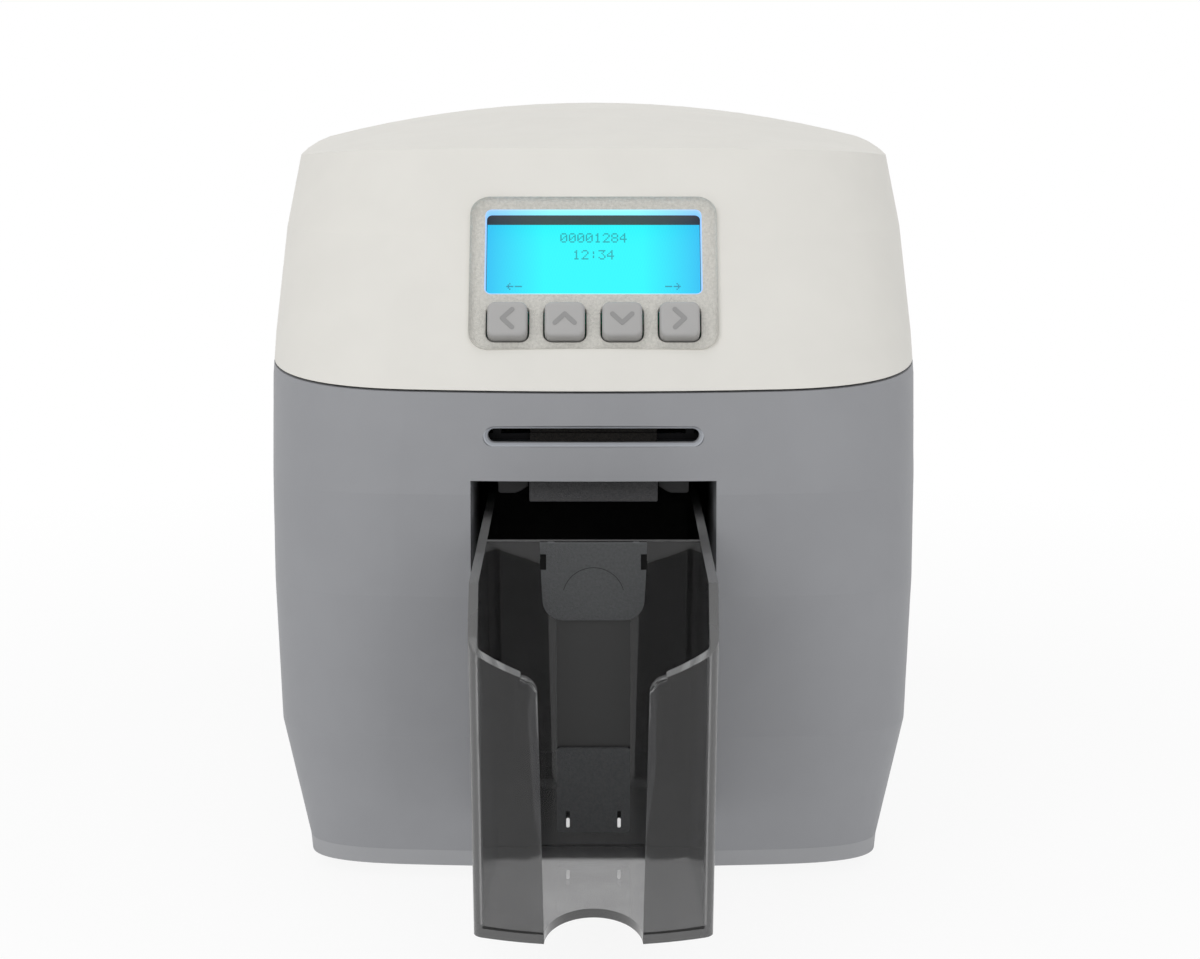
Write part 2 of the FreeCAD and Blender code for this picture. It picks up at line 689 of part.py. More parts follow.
def bracket_ribs():
    """Ribs from the cover's ceiling down to the printhead's bracket."""
    middle = size.head_front + size.head_deep / 2
    ribs = []
    for across in (-size.rib_across, size.rib_across):
        rib = slab((across - size.rib_thick / 2, across + size.rib_thick / 2),
                   (middle - size.rib_deep / 2, middle + size.rib_deep / 2), (size.bracket_top, size.crown_high))
        ribs.append(rib.common(OUTER))
    return ribs


def cover_hook():
    """Latch hook that reaches from the cover down to the release button's housing."""
    inner = size.button_out - size.button_deep - size.spring_long
    low = size.button_level + size.button_tall / 2 + size.button_lip + size.box_thick + size.run_gap + size.hook_gap
    high = size.seam_front + size.hook_lift
    half = size.hook_half
    back = size.button_back
    blade = slab((inner, inner + size.hook_thick), (back - half, back + half), (low, high))
    nose = slab((inner, inner + 2 * size.hook_thick), (back - half, back + half), (low, low + size.hook_thick / 2))
    start = seam_at(back) + size.hook_gap + size.seam_gap
    web = slab((inner, size.body_half + size.side_bulge), (back - half, back + half), (start, high))
    return [blade.fuse(nose), web.common(OUTER)]


def cover_shell():
    """Hinged cover: domed top, leaning front, display well and hinge lugs."""
    upper = beside_seam(size.seam_gap, True)
    shell = OUTER.cut(CAVITY).common(upper)
    well = in_panel(flat_block(size.well_wide, size.well_tall, -size.well_deep, size.panel_sink, size.panel_round))
    shell = shell.fuse(well.common(OUTER))
    sink = in_panel(flat_block(size.panel_wide, size.panel_tall, -size.bezel_thick, size.overrun * 2,
                               size.panel_round))
    lap = 2 * size.ledge_lap
    window = in_panel(flat_block(size.panel_wide - lap, size.panel_tall - lap, -size.well_deep - size.overrun, 0))
    shell = shell.cut(sink).cut(window)
    shell = shell.fuse(panel_posts()).fuse(bracket_ribs()).fuse(cover_hook())
    # The rear edge is turned about the hinge axis, so that it clears the casing as the cover opens
    reach = size.body_half + size.rear_curve
    quadrant = slab((-reach, reach), (size.hinge_back, size.body_long + size.overrun),
                    (size.hinge_high - size.hinge_inset - size.overrun, size.hinge_high))
    rounding = quadrant.cut(hinge_barrel(size.hinge_inset, -reach, reach))
    shell = shell.cut(rounding)
    side = size.eye_half + size.lug_gap
    for middle in hinge_sides():
        shell = shell.cut(slab((middle - side, middle + side), (size.hinge_back, size.body_long + size.overrun),
                               (size.hinge_high - size.hinge_inset - size.overrun, size.hinge_high + size.run_gap)))
    for lug in hinge_lugs():
        shell = shell.fuse(lug)
    bore = size.pin_radius + size.shaft_gap
    for middle in hinge_sides():
        long = size.eye_half + size.lug_gap + size.lug_long + size.overrun
        shell = shell.cut(hinge_barrel(bore, middle - long, middle + long))
    return shell


OUTER = hull(SECTION_SHARES, CROWN_SHARES, 0)
CAVITY = hull(CAVITY_SHARES, CEILING_SHARES, size.wall)
CAVITY = CAVITY.common(slab((-size.body_long, size.body_long), (0, size.body_long),
                            (size.tray_top, size.body_long)))


def base_tray():
    """Base tray: floor and bevelled rim, open under the hopper."""
    reach = size.body_half + size.overrun
    rim = OUTER.cut(CAVITY).common(slab((-reach, reach), (-size.overrun, size.body_long + size.overrun),
                                        (0, size.rim_high)))
    opening = slab((-size.mouth_half, size.mouth_half), (-size.overrun, size.dock_rear - size.dock_wall),
                   (0, size.rim_high + size.overrun))
    return rim.cut(opening).cut(dock_room())


feature("base_tray", base_tray())
feature("lower_casing", lower_shell())
feature("top_cover", cover_shell())

# Rubber feet under the tray

feet = []
for across in ("-foot_across", "foot_across"):
    for back in ("foot_front", "foot_rear"):
        cone = doc.addObject("Part::Cone", "Foot%d" % len(feet))
        cone.setExpression("Radius1", bound("foot_radius - foot_taper"))
        cone.setExpression("Radius2", bound("foot_radius"))
        cone.setExpression("Height", bound("foot_high"))
        feet.append(put(cone, (across, back, "0")))
sub_part(joined("RubberFeet", feet), "rubber_feet")

# Dock that carries the hopper behind the casing's mouth

DOCK_LONG = "(dock_rear - mouth_deep)"
FLANGE_LOW = "(hopper_floor - run_gap)"
FLANGE_TOP = "(hopper_floor + hopper_wall + run_gap)"
dock_walls = [
    box("DockLeft", ("dock_wall", DOCK_LONG, "mouth_high + dock_wall - tray_top"),
        ("-mouth_half - dock_wall", "mouth_deep", "tray_top")),
    box("DockRight", ("dock_wall", DOCK_LONG, "mouth_high + dock_wall - tray_top"),
        ("mouth_half", "mouth_deep", "tray_top")),
    box("DockRear", ("2 * mouth_half", "dock_wall", "mouth_high + dock_wall - tray_top"),
        ("-mouth_half", "dock_rear - dock_wall", "tray_top")),
    box("DockTop", ("2 * mouth_half", DOCK_LONG, "dock_wall"), ("-mouth_half", "mouth_deep", "mouth_high")),
]
for side, across in (("Left", "-mouth_half"), ("Right", "mouth_half - ledge_wide")):
    dock_walls.append(box("Ledge" + side, ("ledge_wide", DOCK_LONG, "ledge_thick"),
                          (across, "mouth_deep", FLANGE_LOW + " - ledge_thick")))
    dock_walls.append(box("Keeper" + side, ("ledge_wide", DOCK_LONG, "ledge_thick"),
                          (across, "mouth_deep", FLANGE_TOP)))
dock_cuts = [
    box("PickWindow", ("2 * pick_half + 2 * overrun", "2 * pick_radius + overrun", "dock_wall + 2 * overrun"),
        ("-pick_half - overrun", "pick_back - pick_radius - overrun / 2", "mouth_high - overrun")),
    rod("PickBore", "pick_shaft + shaft_gap", "2 * mouth_half + 2 * dock_wall + 2 * overrun",
        ("-mouth_half - dock_wall - overrun", "pick_back", "pick_high")),
]
sub_part(cut("HopperDock", joined("DockBox", dock_walls), dock_cuts), "hopper_dock")

# Cowl over the pick roller, seen at the top of the mouth

cowl = new_body("RollerCowl")
pad(cowl, "XY_Plane", [
    ("-cowl_half", "mouth_deep"), ("cowl_half", "mouth_deep"),
    ("cowl_half", "mouth_deep + cowl_deep"), ("-cowl_half", "mouth_deep + cowl_deep"),
], "cowl_tall", "mouth_high - cowl_tall")
soften(cowl, along((0, 1, 0)), "cowl_round")
sub_part(cowl, "roller_cowl")

# Hopper


def hopper_plan(half, up, inset, front):
    """Plan of the hopper at a height: straight sides and a bowed front."""
    rear = size.hopper_rear - inset
    corner = -(front - size.hopper_bow) + inset
    nose = -front + inset
    left = Vector(-half + inset, corner, up)
    right = Vector(half - inset, corner, up)
    rear_right = Vector(half - inset, rear, up)
    rear_left = Vector(-half + inset, rear, up)
    return Part.Wire([
        Part.Arc(left, Vector(0, nose, up), right).toShape(),
        Part.LineSegment(right, rear_right).toShape(),
        Part.LineSegment(rear_right, rear_left).toShape(),
        Part.LineSegment(rear_left, left).toShape(),
    ])


def hopper_block(inset, low):
    """Solid block of the hopper's outer form, drawn in by an inset."""
    slim = size.hopper_half - size.hopper_draft
    plans = [hopper_plan(slim, size.hopper_floor, inset, size.hopper_reach),
             hopper_plan(size.hopper_half, size.hopper_high, inset, size.hopper_reach)]
    block = Part.makeLoft(plans, True, True)
    upright = [edge for edge in block.Edges
               if edge.BoundBox.ZLength > size.hopper_reach / 2 and edge.BoundBox.YMax < 0]
    block = block.makeFillet(size.hopper_corner - inset if inset < size.hopper_corner else inset, upright)
    reach = size.hopper_half + size.overrun
    return block.common(slab((-reach, reach), (-size.hopper_reach - size.overrun, size.hopper_rear + size.overrun),
                             (low, size.hopper_high)))


def hopper_shell():
    """Smoked hopper: bowed front with a finger slot, divider, sloping lip and side flanges."""
    outer = hopper_block(0, size.hopper_floor)
    inner = hopper_block(size.hopper_wall, size.hopper_floor + size.hopper_wall)
    shell = outer.cut(inner)
    reach = size.hopper_half + size.overrun
    divider = slab((-reach, reach), (-size.divider_back - size.hopper_wall, -size.divider_back),
                   (size.hopper_floor, size.hopper_high)).common(outer)
    shell = shell.fuse(divider)
    fall = (size.hopper_high - size.hopper_lip) / (size.hopper_reach - size.hopper_bow - size.hopper_bend)
    far = size.hopper_reach + size.overrun
    lip = size.hopper_high - fall * (far - size.hopper_bend)
    shell = shell.cut(prism([(-size.hopper_bend, size.hopper_high), (-size.hopper_bend, size.hopper_high + far),
                             (-far, size.hopper_high + far), (-far, lip)], -reach, reach))
    low = size.finger_half - size.finger_narrow
    front = -size.hopper_reach - size.overrun
    deep = size.hopper_bow + size.hopper_wall + 2 * size.overrun
    mouth = size.hopper_high - fall * (size.hopper_reach - size.hopper_wall / 2 - size.hopper_bend)
    shell = shell.cut(finger_slot(low, mouth).extrude(Vector(0, deep, 0)))
    # Finger notch in the floor: half an ellipse behind the slot
    under = size.hopper_floor - size.overrun
    centre = Vector(0, -size.hopper_reach, under)
    rim = Part.Ellipse(centre + Vector(0, size.notch_deep, 0), centre + Vector(low, 0, 0), centre)
    notch = Part.Face(Part.Wire(rim.toShape())).extrude(Vector(0, 0, 2 * size.overrun))
    shell = shell.cut(notch)
    for side in (-1, 1):
        edge = side * (size.mouth_half - size.run_gap)
        root = side * (size.hopper_half - size.hopper_draft - size.hopper_wall / 2)
        start, end = min(edge, root), max(edge, root)
        flange = slab((start, end), (size.mouth_deep + size.run_gap, size.hopper_rear),
                      (size.hopper_floor, size.hopper_floor + size.hopper_wall))
        shell = shell.fuse(flange)
    # Track strip that guides the card gate and the lower pad
    strip = slab((-size.strip_half, size.strip_half),
                 (-size.divider_back - size.hopper_wall - size.pad_thick / 2, -size.divider_back - size.hopper_wall),
                 (size.pad_low, size.hopper_high - size.gate_tall - size.slide_gap))
    shell = shell.fuse(strip)
    # The lower pad's slots go on through the strip and the divider
    low = size.pad_low + size.clip_tall / 4
    for across in (-size.pad_slot, size.pad_slot):
        shell = shell.cut(slab((across - size.clip_wide / 2, across + size.clip_wide / 2),
                               (-size.divider_back - size.hopper_wall - size.overrun, -size.divider_back + size.overrun),
                               (low, low + size.clip_tall)))
    return shell


def finger_slot(low, mouth):
    """Outline of the tapered finger slot, whose mouth is rounded into the top of the front wall."""
    front = -size.hopper_reach - size.overrun
    turn = size.finger_round
    slant = turn * math.sqrt(0.5)
    floor = size.hopper_floor + size.hopper_wall
    neck = Vector(size.finger_half, front, mouth - turn)
    middle = Vector(size.finger_half + turn - slant, front, mouth - turn + slant)
    flare = Vector(size.finger_half + turn, front, mouth)
    top = Vector(size.finger_half + turn, front, size.hopper_high)
    foot = Vector(low, front, floor)
    return Part.Face(Part.Wire([
        Part.LineSegment(mirrored(foot), foot).toShape(),
        Part.LineSegment(foot, neck).toShape(),
        Part.Arc(neck, middle, flare).toShape(),
        Part.LineSegment(flare, top).toShape(),
        Part.LineSegment(top, mirrored(top)).toShape(),
        Part.LineSegment(mirrored(top), mirrored(flare)).toShape(),
        Part.Arc(mirrored(flare), mirrored(middle), mirrored(neck)).toShape(),
        Part.LineSegment(mirrored(neck), mirrored(foot)).toShape(),
    ]))


feature("hopper", hopper_shell())


# Card gate that slides on the divider, and the fixed pad below it

GATE_FRONT = "divider_back + hopper_wall + slide_gap"
gate = new_body("Gate")
pad(gate, "XZ_Plane", [
    ("-gate_half", "hopper_high - gate_tall"), ("gate_half", "hopper_high - gate_tall"),
    ("gate_half", "hopper_high"), ("-gate_half", "hopper_high"),
], "gate_thick", GATE_FRONT)
lower_level = size.hopper_high - size.gate_tall
soften(gate, lambda edge: along((0, 1, 0))(edge) and edge.BoundBox.ZMax < lower_level + size.fit_gap, "gate_round")
pocket(gate, "XZ_Plane", [[
    ("-strip_half - slide_gap", "hopper_high - gate_tall - overrun"),
    ("strip_half + slide_gap", "hopper_high - gate_tall - overrun"),
    ("strip_half + slide_gap", "hopper_high + overrun"),
    ("-strip_half - slide_gap", "hopper_high + overrun"),
]], offset=GATE_FRONT, length="pad_thick / 2", name="Channel", backwards=True)
pocket(gate, "XZ_Plane", [], [(("0", "hopper_high - gate_tall / 2 - clip_tall"), "thumb_radius")],
       offset=GATE_FRONT + " + gate_thick", length="thumb_deep", name="Thumb")
pocket(gate, "XZ_Plane", [
    rectangle("clip_wide", "clip_tall", across, "hopper_high - clip_low") for across in ("-clip_across", "clip_across")
], name="Clips")
sub_part(gate, "card_gate")

lower_pad = new_body("LowerPad")
pad(lower_pad, "XZ_Plane", [
    ("-strip_half", "pad_low"), ("strip_half", "pad_low"),
    ("strip_half", "pad_low + pad_tall"), ("-strip_half", "pad_low + pad_tall"),
], "pad_thick", "divider_back + hopper_wall + pad_thick / 2")
soften(lower_pad, along((0, 1, 0)), "clip_wide")
pocket(lower_pad, "XZ_Plane", [
    rectangle("clip_wide", "clip_tall", across, "pad_low + clip_tall * 3 / 4") for across in ("-pad_slot", "pad_slot")
], name="Slots")
sub_part(lower_pad, "hopper_pad")

# Guide and brush behind the hand-feed slot

guide = cut("SlotGuide", box("GuideBlock", ("2 * slot_half + 2 * guide_edge", "guide_deep", "guide_tall"),
                             ("-slot_half - guide_edge", "deck_front - guide_deep", "path_high - guide_tall / 2")),
            [box("GuideGap", ("2 * slot_half", "guide_deep + 2 * overrun", "guide_open"),
                 ("-slot_half", "deck_front - guide_deep - overrun", "path_high - guide_open / 2"))])
sub_part(guide, "slot_guide")
BRUSH_TALL = "(guide_open / 2 - brush_gap)"
brushes = [
    box("UpperBrush", ("2 * brush_half", "brush_deep", BRUSH_TALL),
        ("-brush_half", "deck_front - guide_deep / 2 - brush_deep / 2", "path_high + brush_gap")),
    box("LowerBrush", ("2 * brush_half", "brush_deep", BRUSH_TALL),
        ("-brush_half", "deck_front - guide_deep / 2 - brush_deep / 2", "path_high - guide_open / 2")),
]
sub_part(joined("SlotBrush", brushes), "slot_brush")

# Display group, drawn flat and laid on the leaning panel

WINDOW = rectangle("screen_wide", "screen_tall", "0", "screen_up")
KEY_NAMES = ("key_left", "key_up", "key_down", "key_right")
# Key places in pitches from the panel's centre line
KEY_SHARES = (-1.5, -0.5, 0.5, 1.5)


def key_across(number):
    return "key_pitch * %g" % KEY_SHARES[number]


bezel = new_body("Bezel")
pad(bezel, "XY_Plane", rectangle("(panel_wide - 2 * fit_gap)", "(panel_tall - 2 * fit_gap)"), "bezel_thick",
    "-bezel_thick")
soften(bezel, along((0, 0, 1)), "panel_round - fit_gap")
pocket(bezel, "XY_Plane", [WINDOW], name="Window")
pocket(bezel, "XY_Plane", [
    rectangle("(key_side + 2 * fit_gap)", "(key_side + 2 * fit_gap)", key_across(number), "-key_below")
    for number in range(len(KEY_NAMES))
], name="KeyHoles")
panel_part(bezel, "display_bezel")

frame = new_body("ScreenFrame")
pad(frame, "XY_Plane", rectangle("(screen_wide + 2 * frame_wide)", "(screen_tall + 2 * frame_wide)", "0", "screen_up"),
    "screen_sink - bezel_thick", "-screen_sink")
pocket(frame, "XY_Plane", [WINDOW], name="Window")
panel_part(frame, "screen_frame")

glass = new_body("ScreenGlass")
pad(glass, "XY_Plane", rectangle("(screen_wide + 2 * frame_wide)", "(screen_tall + 2 * frame_wide)", "0", "screen_up"),
    "glass_thick", "-screen_sink - glass_thick")
panel_part(glass, "lcd_screen")

module = new_body("ScreenModule")
pad(module, "XY_Plane", rectangle("(screen_wide + frame_wide)", "(screen_tall + frame_wide)", "0", "screen_up"),
    "board_sink - screen_sink - glass_thick", "-board_sink")
panel_part(module, "lcd_module")

PANEL_POSTS = [("-post_across", "post_up"), ("post_across", "post_up")]
board = new_body("DisplayBoard")
pad(board, "XY_Plane", rectangle("well_wide", "well_tall"), "board_thick", "-board_sink - board_thick")
pocket(board, "XY_Plane", [], [(place, "post_screw") for place in PANEL_POSTS], name="Holes")
# Four key switches are soldered to the board
for number in range(len(KEY_NAMES)):
    pad(board, "XY_Plane", rectangle("switch_side", "switch_side", key_across(number), "-key_below"),
        "switch_tall", "-board_sink", "Switch%d" % number)
panel_part(board, "display_board")

for number, name in enumerate(KEY_NAMES):
    across = key_across(number)
    key = new_body("Key%d" % number)
    pad(key, "XY_Plane", rectangle("key_side", "key_side", across, "-key_below"),
        "key_proud + bezel_thick + fit_gap", "-bezel_thick - fit_gap")
    soften(key, along((0, 0, 1)), "key_round", "Corner", "PartDesign::Chamfer", "Size")
    soften(key, at_level(size.key_proud), "key_edge", "TopEdge", "PartDesign::Chamfer", "Size")
    side = "(key_side + 2 * key_lip)"
    pad(key, "XY_Plane", rectangle(side, side, across, "-key_below"), "key_flange",
        "-bezel_thick - fit_gap - key_flange", "Flange")
    pad(key, "XY_Plane", rectangle("stem_side", "stem_side", across, "-key_below"),
        "board_sink - switch_tall - key_travel - stem_gap - bezel_thick - fit_gap",
        "-board_sink + switch_tall + key_travel + stem_gap", "Stem")
    panel_part(key, name)



def many_sided(name, sides, radius, length, start, axis="z"):
    """Round bar with few flats, for the smallest pieces."""
    item = doc.addObject("Part::Prism", name)
    item.Polygon = sides
    item.setExpression("Circumradius", bound(radius))
    item.setExpression("Height", bound(length))
    item.Placement = Placement(Vector(), TURN[axis])
    return put(item, start)


panel_screws = []
for number, (across, up) in enumerate(PANEL_POSTS):
    head = many_sided("PanelHead%d" % number, SCREW_SIDES, "2 * post_screw", "post_screw",
                      (across, up, "-board_sink - board_thick - post_screw"))
    shank = many_sided("PanelShank%d" % number, SCREW_SIDES, "post_screw", "board_thick + post_long",
                       (across, up, "-board_sink - board_thick"))
    panel_screws.append(joined("PanelScrew%d" % number, [head, shank]))
panel_part(joined("PanelScrews", panel_screws), "display_screws")

# Chassis side plates and card deck

ROLLERS = {"feed": "feed_back", "platen": "platen_back", "transport": "transport_back"}
PINCHES = {"feed": "feed_back", "transport": "transport_back"}
SPOOLS = {"supply": "supply_back", "takeup": "takeup_back"}
BARS = [("bar_front", "bar_level"), ("bar_rear", "bar_level"), ("bar_rear", "bar_top")]


def side_plate(name, label, start, flange_start):
    """Sheet-metal side plate with shaft bores, spool slots, towers and a foot flange."""
    plate = new_body(name)
    pad(plate, "YZ_Plane", [
        ("chassis_front", "tray_top"), ("chassis_rear", "tray_top"), ("chassis_rear", "plate_high"),
        ("takeup_back + tower_half", "plate_high"), ("takeup_back + tower_half", "tower_high"),
        ("takeup_back - tower_half", "tower_high"), ("takeup_back - tower_half", "plate_high"),
        ("supply_back + tower_half", "plate_high"), ("supply_back + tower_half", "tower_high"),
        ("supply_back - tower_half", "tower_high"), ("supply_back - tower_half", "plate_high"),
        ("chassis_front", "plate_high"),
    ], "sheet", start)
    pad(plate, "XY_Plane", [
        (flange_start, "chassis_front"), (flange_start + " + flange_out", "chassis_front"),
        (flange_start + " + flange_out", "chassis_rear"), (flange_start, "chassis_rear"),
    ], "sheet", "tray_top", "Flange")
    slots = []
    bores = []
    for back in SPOOLS.values():
        reach = "(hub_radius + shaft_gap)"
        slots.append([("%s - %s" % (back, reach), "spool_level"), ("%s + %s" % (back, reach), "spool_level"),
                      ("%s + %s" % (back, reach), "tower_high + overrun"),
                      ("%s - %s" % (back, reach), "tower_high + overrun")])
    for back in ROLLERS.values():
        bores.append(((back, "shaft_high"), "shaft_radius + shaft_gap"))
    for back in PINCHES.values():
        bores.append(((back, "pinch_high"), "pinch_journal + shaft_gap"))
    bores.append((("lightening_back", "lightening_level"), "lightening_radius"))
    if label == "chassis_right":
        bores.append((("motor_back", "motor_level"), "pilot_radius"))
    pocket(plate, "YZ_Plane", slots, name="SpoolSlots", offset=start)
    pocket(plate, "YZ_Plane", [], bores, name="Bores", offset=start)
    pocket(plate, "YZ_Plane", [], [((back, "spool_level"), "hub_radius + shaft_gap") for back in SPOOLS.values()],
           name="SpoolSeats", offset=start)
    return sub_part(plate, label)


side_plate("ChassisRight", "chassis_right", "chassis_half", "chassis_half")
side_plate("ChassisLeft", "chassis_left", "-chassis_half - sheet", "-chassis_half - flange_out")

deck = new_body("CardDeck")
pad(deck, "XY_Plane", [
    ("-chassis_half", "deck_front"), ("chassis_half", "deck_front"),
    ("chassis_half", "deck_rear"), ("-chassis_half", "deck_rear"),
], "deck_thick", "deck_high - deck_thick")
for side, start in (("Left", "-card_half - rail_wide"), ("Right", "card_half")):
    pad(deck, "XY_Plane", [
        (start, "deck_front"), (start + " + rail_wide", "deck_front"),
        (start + " + rail_wide", "deck_rear"), (start, "deck_rear"),
    ], "rail_high", "deck_high", "Rail" + side)
pocket(deck, "XY_Plane", [
    rectangle("2 * window_half", "2 * window_reach", "0", back) for back in ROLLERS.values()
], name="Windows", offset="deck_high")
sub_part(deck, "card_deck")

bars = [rod("TieBar%d" % number, "bar_radius", "2 * chassis_half", ("-chassis_half", back, level))
        for number, (back, level) in enumerate(BARS)]
sub_part(joined("TieBars", bars), "tie_bars")

# Driven rollers with their shafts and toothed pulleys

PLATE_OUT = "chassis_half + sheet"
PULLEY_START = "(chassis_half + sheet + pulley_off)"


def pulley(name, label, place, radius, bore, teeth):
    """Toothed pulley with an outer rim, its teeth cut by a polar pattern."""
    back, level = place
    wheel = new_body(name)
    pad_round(wheel, "YZ_Plane", ("0", "0"), radius, "pulley_long", PULLEY_START)
    notch = pocket(wheel, "YZ_Plane", [rectangle("2 * tooth_deep", "2 * tooth_deep", radius)],
                   offset=PULLEY_START, name="Tooth")
    pattern = wheel.newObject("PartDesign::PolarPattern", name + "Teeth")
    pattern.Originals = [notch]
    pattern.Axis = ([item for item in wheel.Origin.OriginFeatures if item.Role == "X_Axis"][0], [""])
    pattern.Angle = 360
    pattern.Occurrences = int(teeth)
    wheel.Tip = pattern
    doc.recompute()
    pad_round(wheel, "YZ_Plane", ("0", "0"), radius + " + pulley_rim", "rim_thick",
              PULLEY_START + " + pulley_long - rim_thick", "Rim")
    pocket(wheel, "YZ_Plane", [], [(("0", "0"), bore)], offset=PULLEY_START, name="Bore")
    put(wheel, ("0", back, level))
    return sub_part(wheel, label)


for name, back in ROLLERS.items():
    shaft = rod(name + "Shaft", "shaft_radius", "2 * chassis_half + 2 * sheet + shaft_end + pulley_off + pulley_long",
                ("-chassis_half - sheet - shaft_end", back, "shaft_high"))
    sub_part(shaft, name + "_shaft")
    sleeve = cut(name + "Sleeve", rod(name + "Rubber", "roller_radius", "2 * roller_half", ("-roller_half", back, "shaft_high")),
                 [rod(name + "Core", "shaft_radius", "2 * roller_half + 2 * overrun",
                      ("-roller_half - overrun", back, "shaft_high"))])
    sub_part(sleeve, name + "_roller")
    pulley(name + "Pulley", name + "_pulley", (back, "shaft_high"), "pulley_radius", "shaft_radius", size.pulley_teeth)

for name, back in PINCHES.items():
    middle = rod(name + "PinchBody", "pinch_radius", "2 * pinch_half", ("-pinch_half", back, "pinch_high"))
    journal = rod(name + "PinchEnds", "pinch_journal", "2 * chassis_half + 2 * sheet + 2 * pinch_end",
                  ("-chassis_half - sheet - pinch_end", back, "pinch_high"))
    sub_part(joined(name + "Pinch", [middle, journal]), name + "_pinch")

pick_shaft = rod("PickShaft", "pick_shaft", "2 * mouth_half + 2 * dock_wall + 2 * shaft_end",
                 ("-mouth_half - dock_wall - shaft_end", "pick_back", "pick_high"))
sub_part(pick_shaft, "pick_shaft")
pick_tyre = cut("PickTyre", rod("PickRubber", "pick_radius", "2 * pick_half", ("-pick_half", "pick_back", "pick_high")),
                [rod("PickCore", "pick_shaft", "2 * pick_half + 2 * overrun",
                     ("-pick_half - overrun", "pick_back", "pick_high"))])
sub_part(pick_tyre, "pick_roller")

# Motor and belt

can = rod("MotorCan", "motor_radius", "motor_long", ("chassis_half - motor_long", "motor_back", "motor_level"))
pilot = rod("MotorPilot", "pilot_radius", "pilot_thick", ("chassis_half", "motor_back", "motor_level"))
hollow = rod("MotorBore", "motor_shaft + shaft_gap", "motor_long / 2 + pilot_thick + overrun",
             ("chassis_half - motor_long / 2", "motor_back", "motor_level"))
sub_part(cut("MainMotor", joined("MotorBody", [can, pilot]), [hollow]), "main_motor")
motor_shaft = rod("MotorShaft", "motor_shaft", "motor_long / 2 - run_gap + sheet + pulley_off + pulley_long",
                  ("chassis_half - motor_long / 2 + run_gap", "motor_back", "motor_level"))
sub_part(motor_shaft, "motor_shaft")
pulley("MotorPulley", "motor_pulley", ("motor_back", "motor_level"), "motor_pulley", "motor_shaft",
       round(size.pulley_teeth * size.motor_pulley / size.pulley_radius))


def belt_face(circles, across):
    """Face inside a belt that runs round circles of (back, level, radius), in clockwise order."""
    edges = []
    points = []
    count = len(circles)
    for number in range(count):
        here = circles[number]
        there = circles[(number + 1) % count]
        run = Vector(0, there[0] - here[0], there[1] - here[1])
        tilt = math.atan2(run.z, run.y) + math.pi / 2 + math.asin((there[2] - here[2]) / run.Length)
        out = Vector(0, math.cos(tilt), math.sin(tilt))
        points.append((Vector(across, here[0], here[1]) + out * here[2],
                       Vector(across, there[0], there[1]) + out * there[2]))
    for number in range(count):
        leave, arrive = points[number]
        next_leave = points[(number + 1) % count][0]
        back, level, radius = circles[(number + 1) % count]
        middle = Vector(across, back, level)
        crest = (arrive - middle) + (next_leave - middle)
        edges.append(Part.LineSegment(leave, arrive).toShape())
        edges.append(Part.Arc(arrive, middle + crest.normalize() * radius, next_leave).toShape())
    return Part.Face(Part.Wire(edges))


def drive_belt():
    """Belt round the roller pulleys and the motor's pulley."""
    start = size.chassis_half + size.sheet + size.pulley_off + size.rim_thick + size.fit_gap
    wide = size.pulley_long - 2 * size.rim_thick - 2 * size.fit_gap
    places = [(size.feed_back, size.shaft_high, size.pulley_radius),
              (size.transport_back, size.shaft_high, size.pulley_radius),
              (size.motor_back, size.motor_level, size.motor_pulley)]
    inner = [(back, level, radius + size.belt_gap) for back, level, radius in places]
    outer = [(back, level, radius + size.belt_thick) for back, level, radius in inner]
    run = Vector(wide, 0, 0)
    return belt_face(outer, start).extrude(run).cut(belt_face(inner, start).extrude(run))


feature("drive_belt", drive_belt())

# Ribbon spools, ribbon and printhead

for name, back in SPOOLS.items():
    hub = rod(name + "Hub", "hub_radius", "2 * chassis_half + 2 * sheet + 2 * hub_reach",
              ("-chassis_half - sheet - hub_reach", back, "spool_level"))
    flanges = [rod(name + side, "flange_radius", "flange_thick", (start, back, "spool_level"))
               for side, start in (("Near", "-spool_half - flange_thick"), ("Far", "spool_half"))]
    sub_part(joined(name + "Spool", [hub] + flanges), name + "_spool")
    roll = cut(name + "Roll", rod(name + "Wound", name + "_radius", "2 * film_half", ("-film_half", back, "spool_level")),
               [rod(name + "Centre", "hub_radius", "2 * film_half + 2 * overrun",
                    ("-film_half - overrun", back, "spool_level"))])
    sub_part(roll, name + "_roll")


def tangent_point(back, level, radius, toward, side):
    """Point where a line from a place touches a circle."""
    run = Vector(0, toward.y - back, toward.z - level)
    turn = math.atan2(run.z, run.y) + side * math.acos(radius / run.Length)
    return Vector(toward.x, back + radius * math.cos(turn), level + radius * math.sin(turn))


def ribbon():
    """Ribbon from one roll under the printhead to the other."""
    level = size.path_high + size.film_drop
    side = -size.film_half
    near = Vector(side, size.head_front - size.head_nose, level)
    far = Vector(side, size.head_front + size.head_deep + size.head_nose, level)
    start = tangent_point(size.supply_back, size.spool_level, size.supply_radius + size.film_thick, near, -1)
    end = tangent_point(size.takeup_back, size.spool_level, size.takeup_radius + size.film_thick, far, 1)
    lower = [start, near, far, end]
    sides = [(near - start).normalize(), Vector(0, 1, 0), (end - far).normalize()]
    up = [Vector(0, -side.z, side.y) * size.film_thick for side in sides]
    upper = [start + up[0], near + (up[0] + up[1]) / 2, far + (up[1] + up[2]) / 2, end + up[2]]
    loop = lower + list(reversed(upper))
    return Part.Face(Part.makePolygon(loop + loop[:1])).extrude(Vector(2 * size.film_half, 0, 0))


feature("ribbon_film", ribbon())

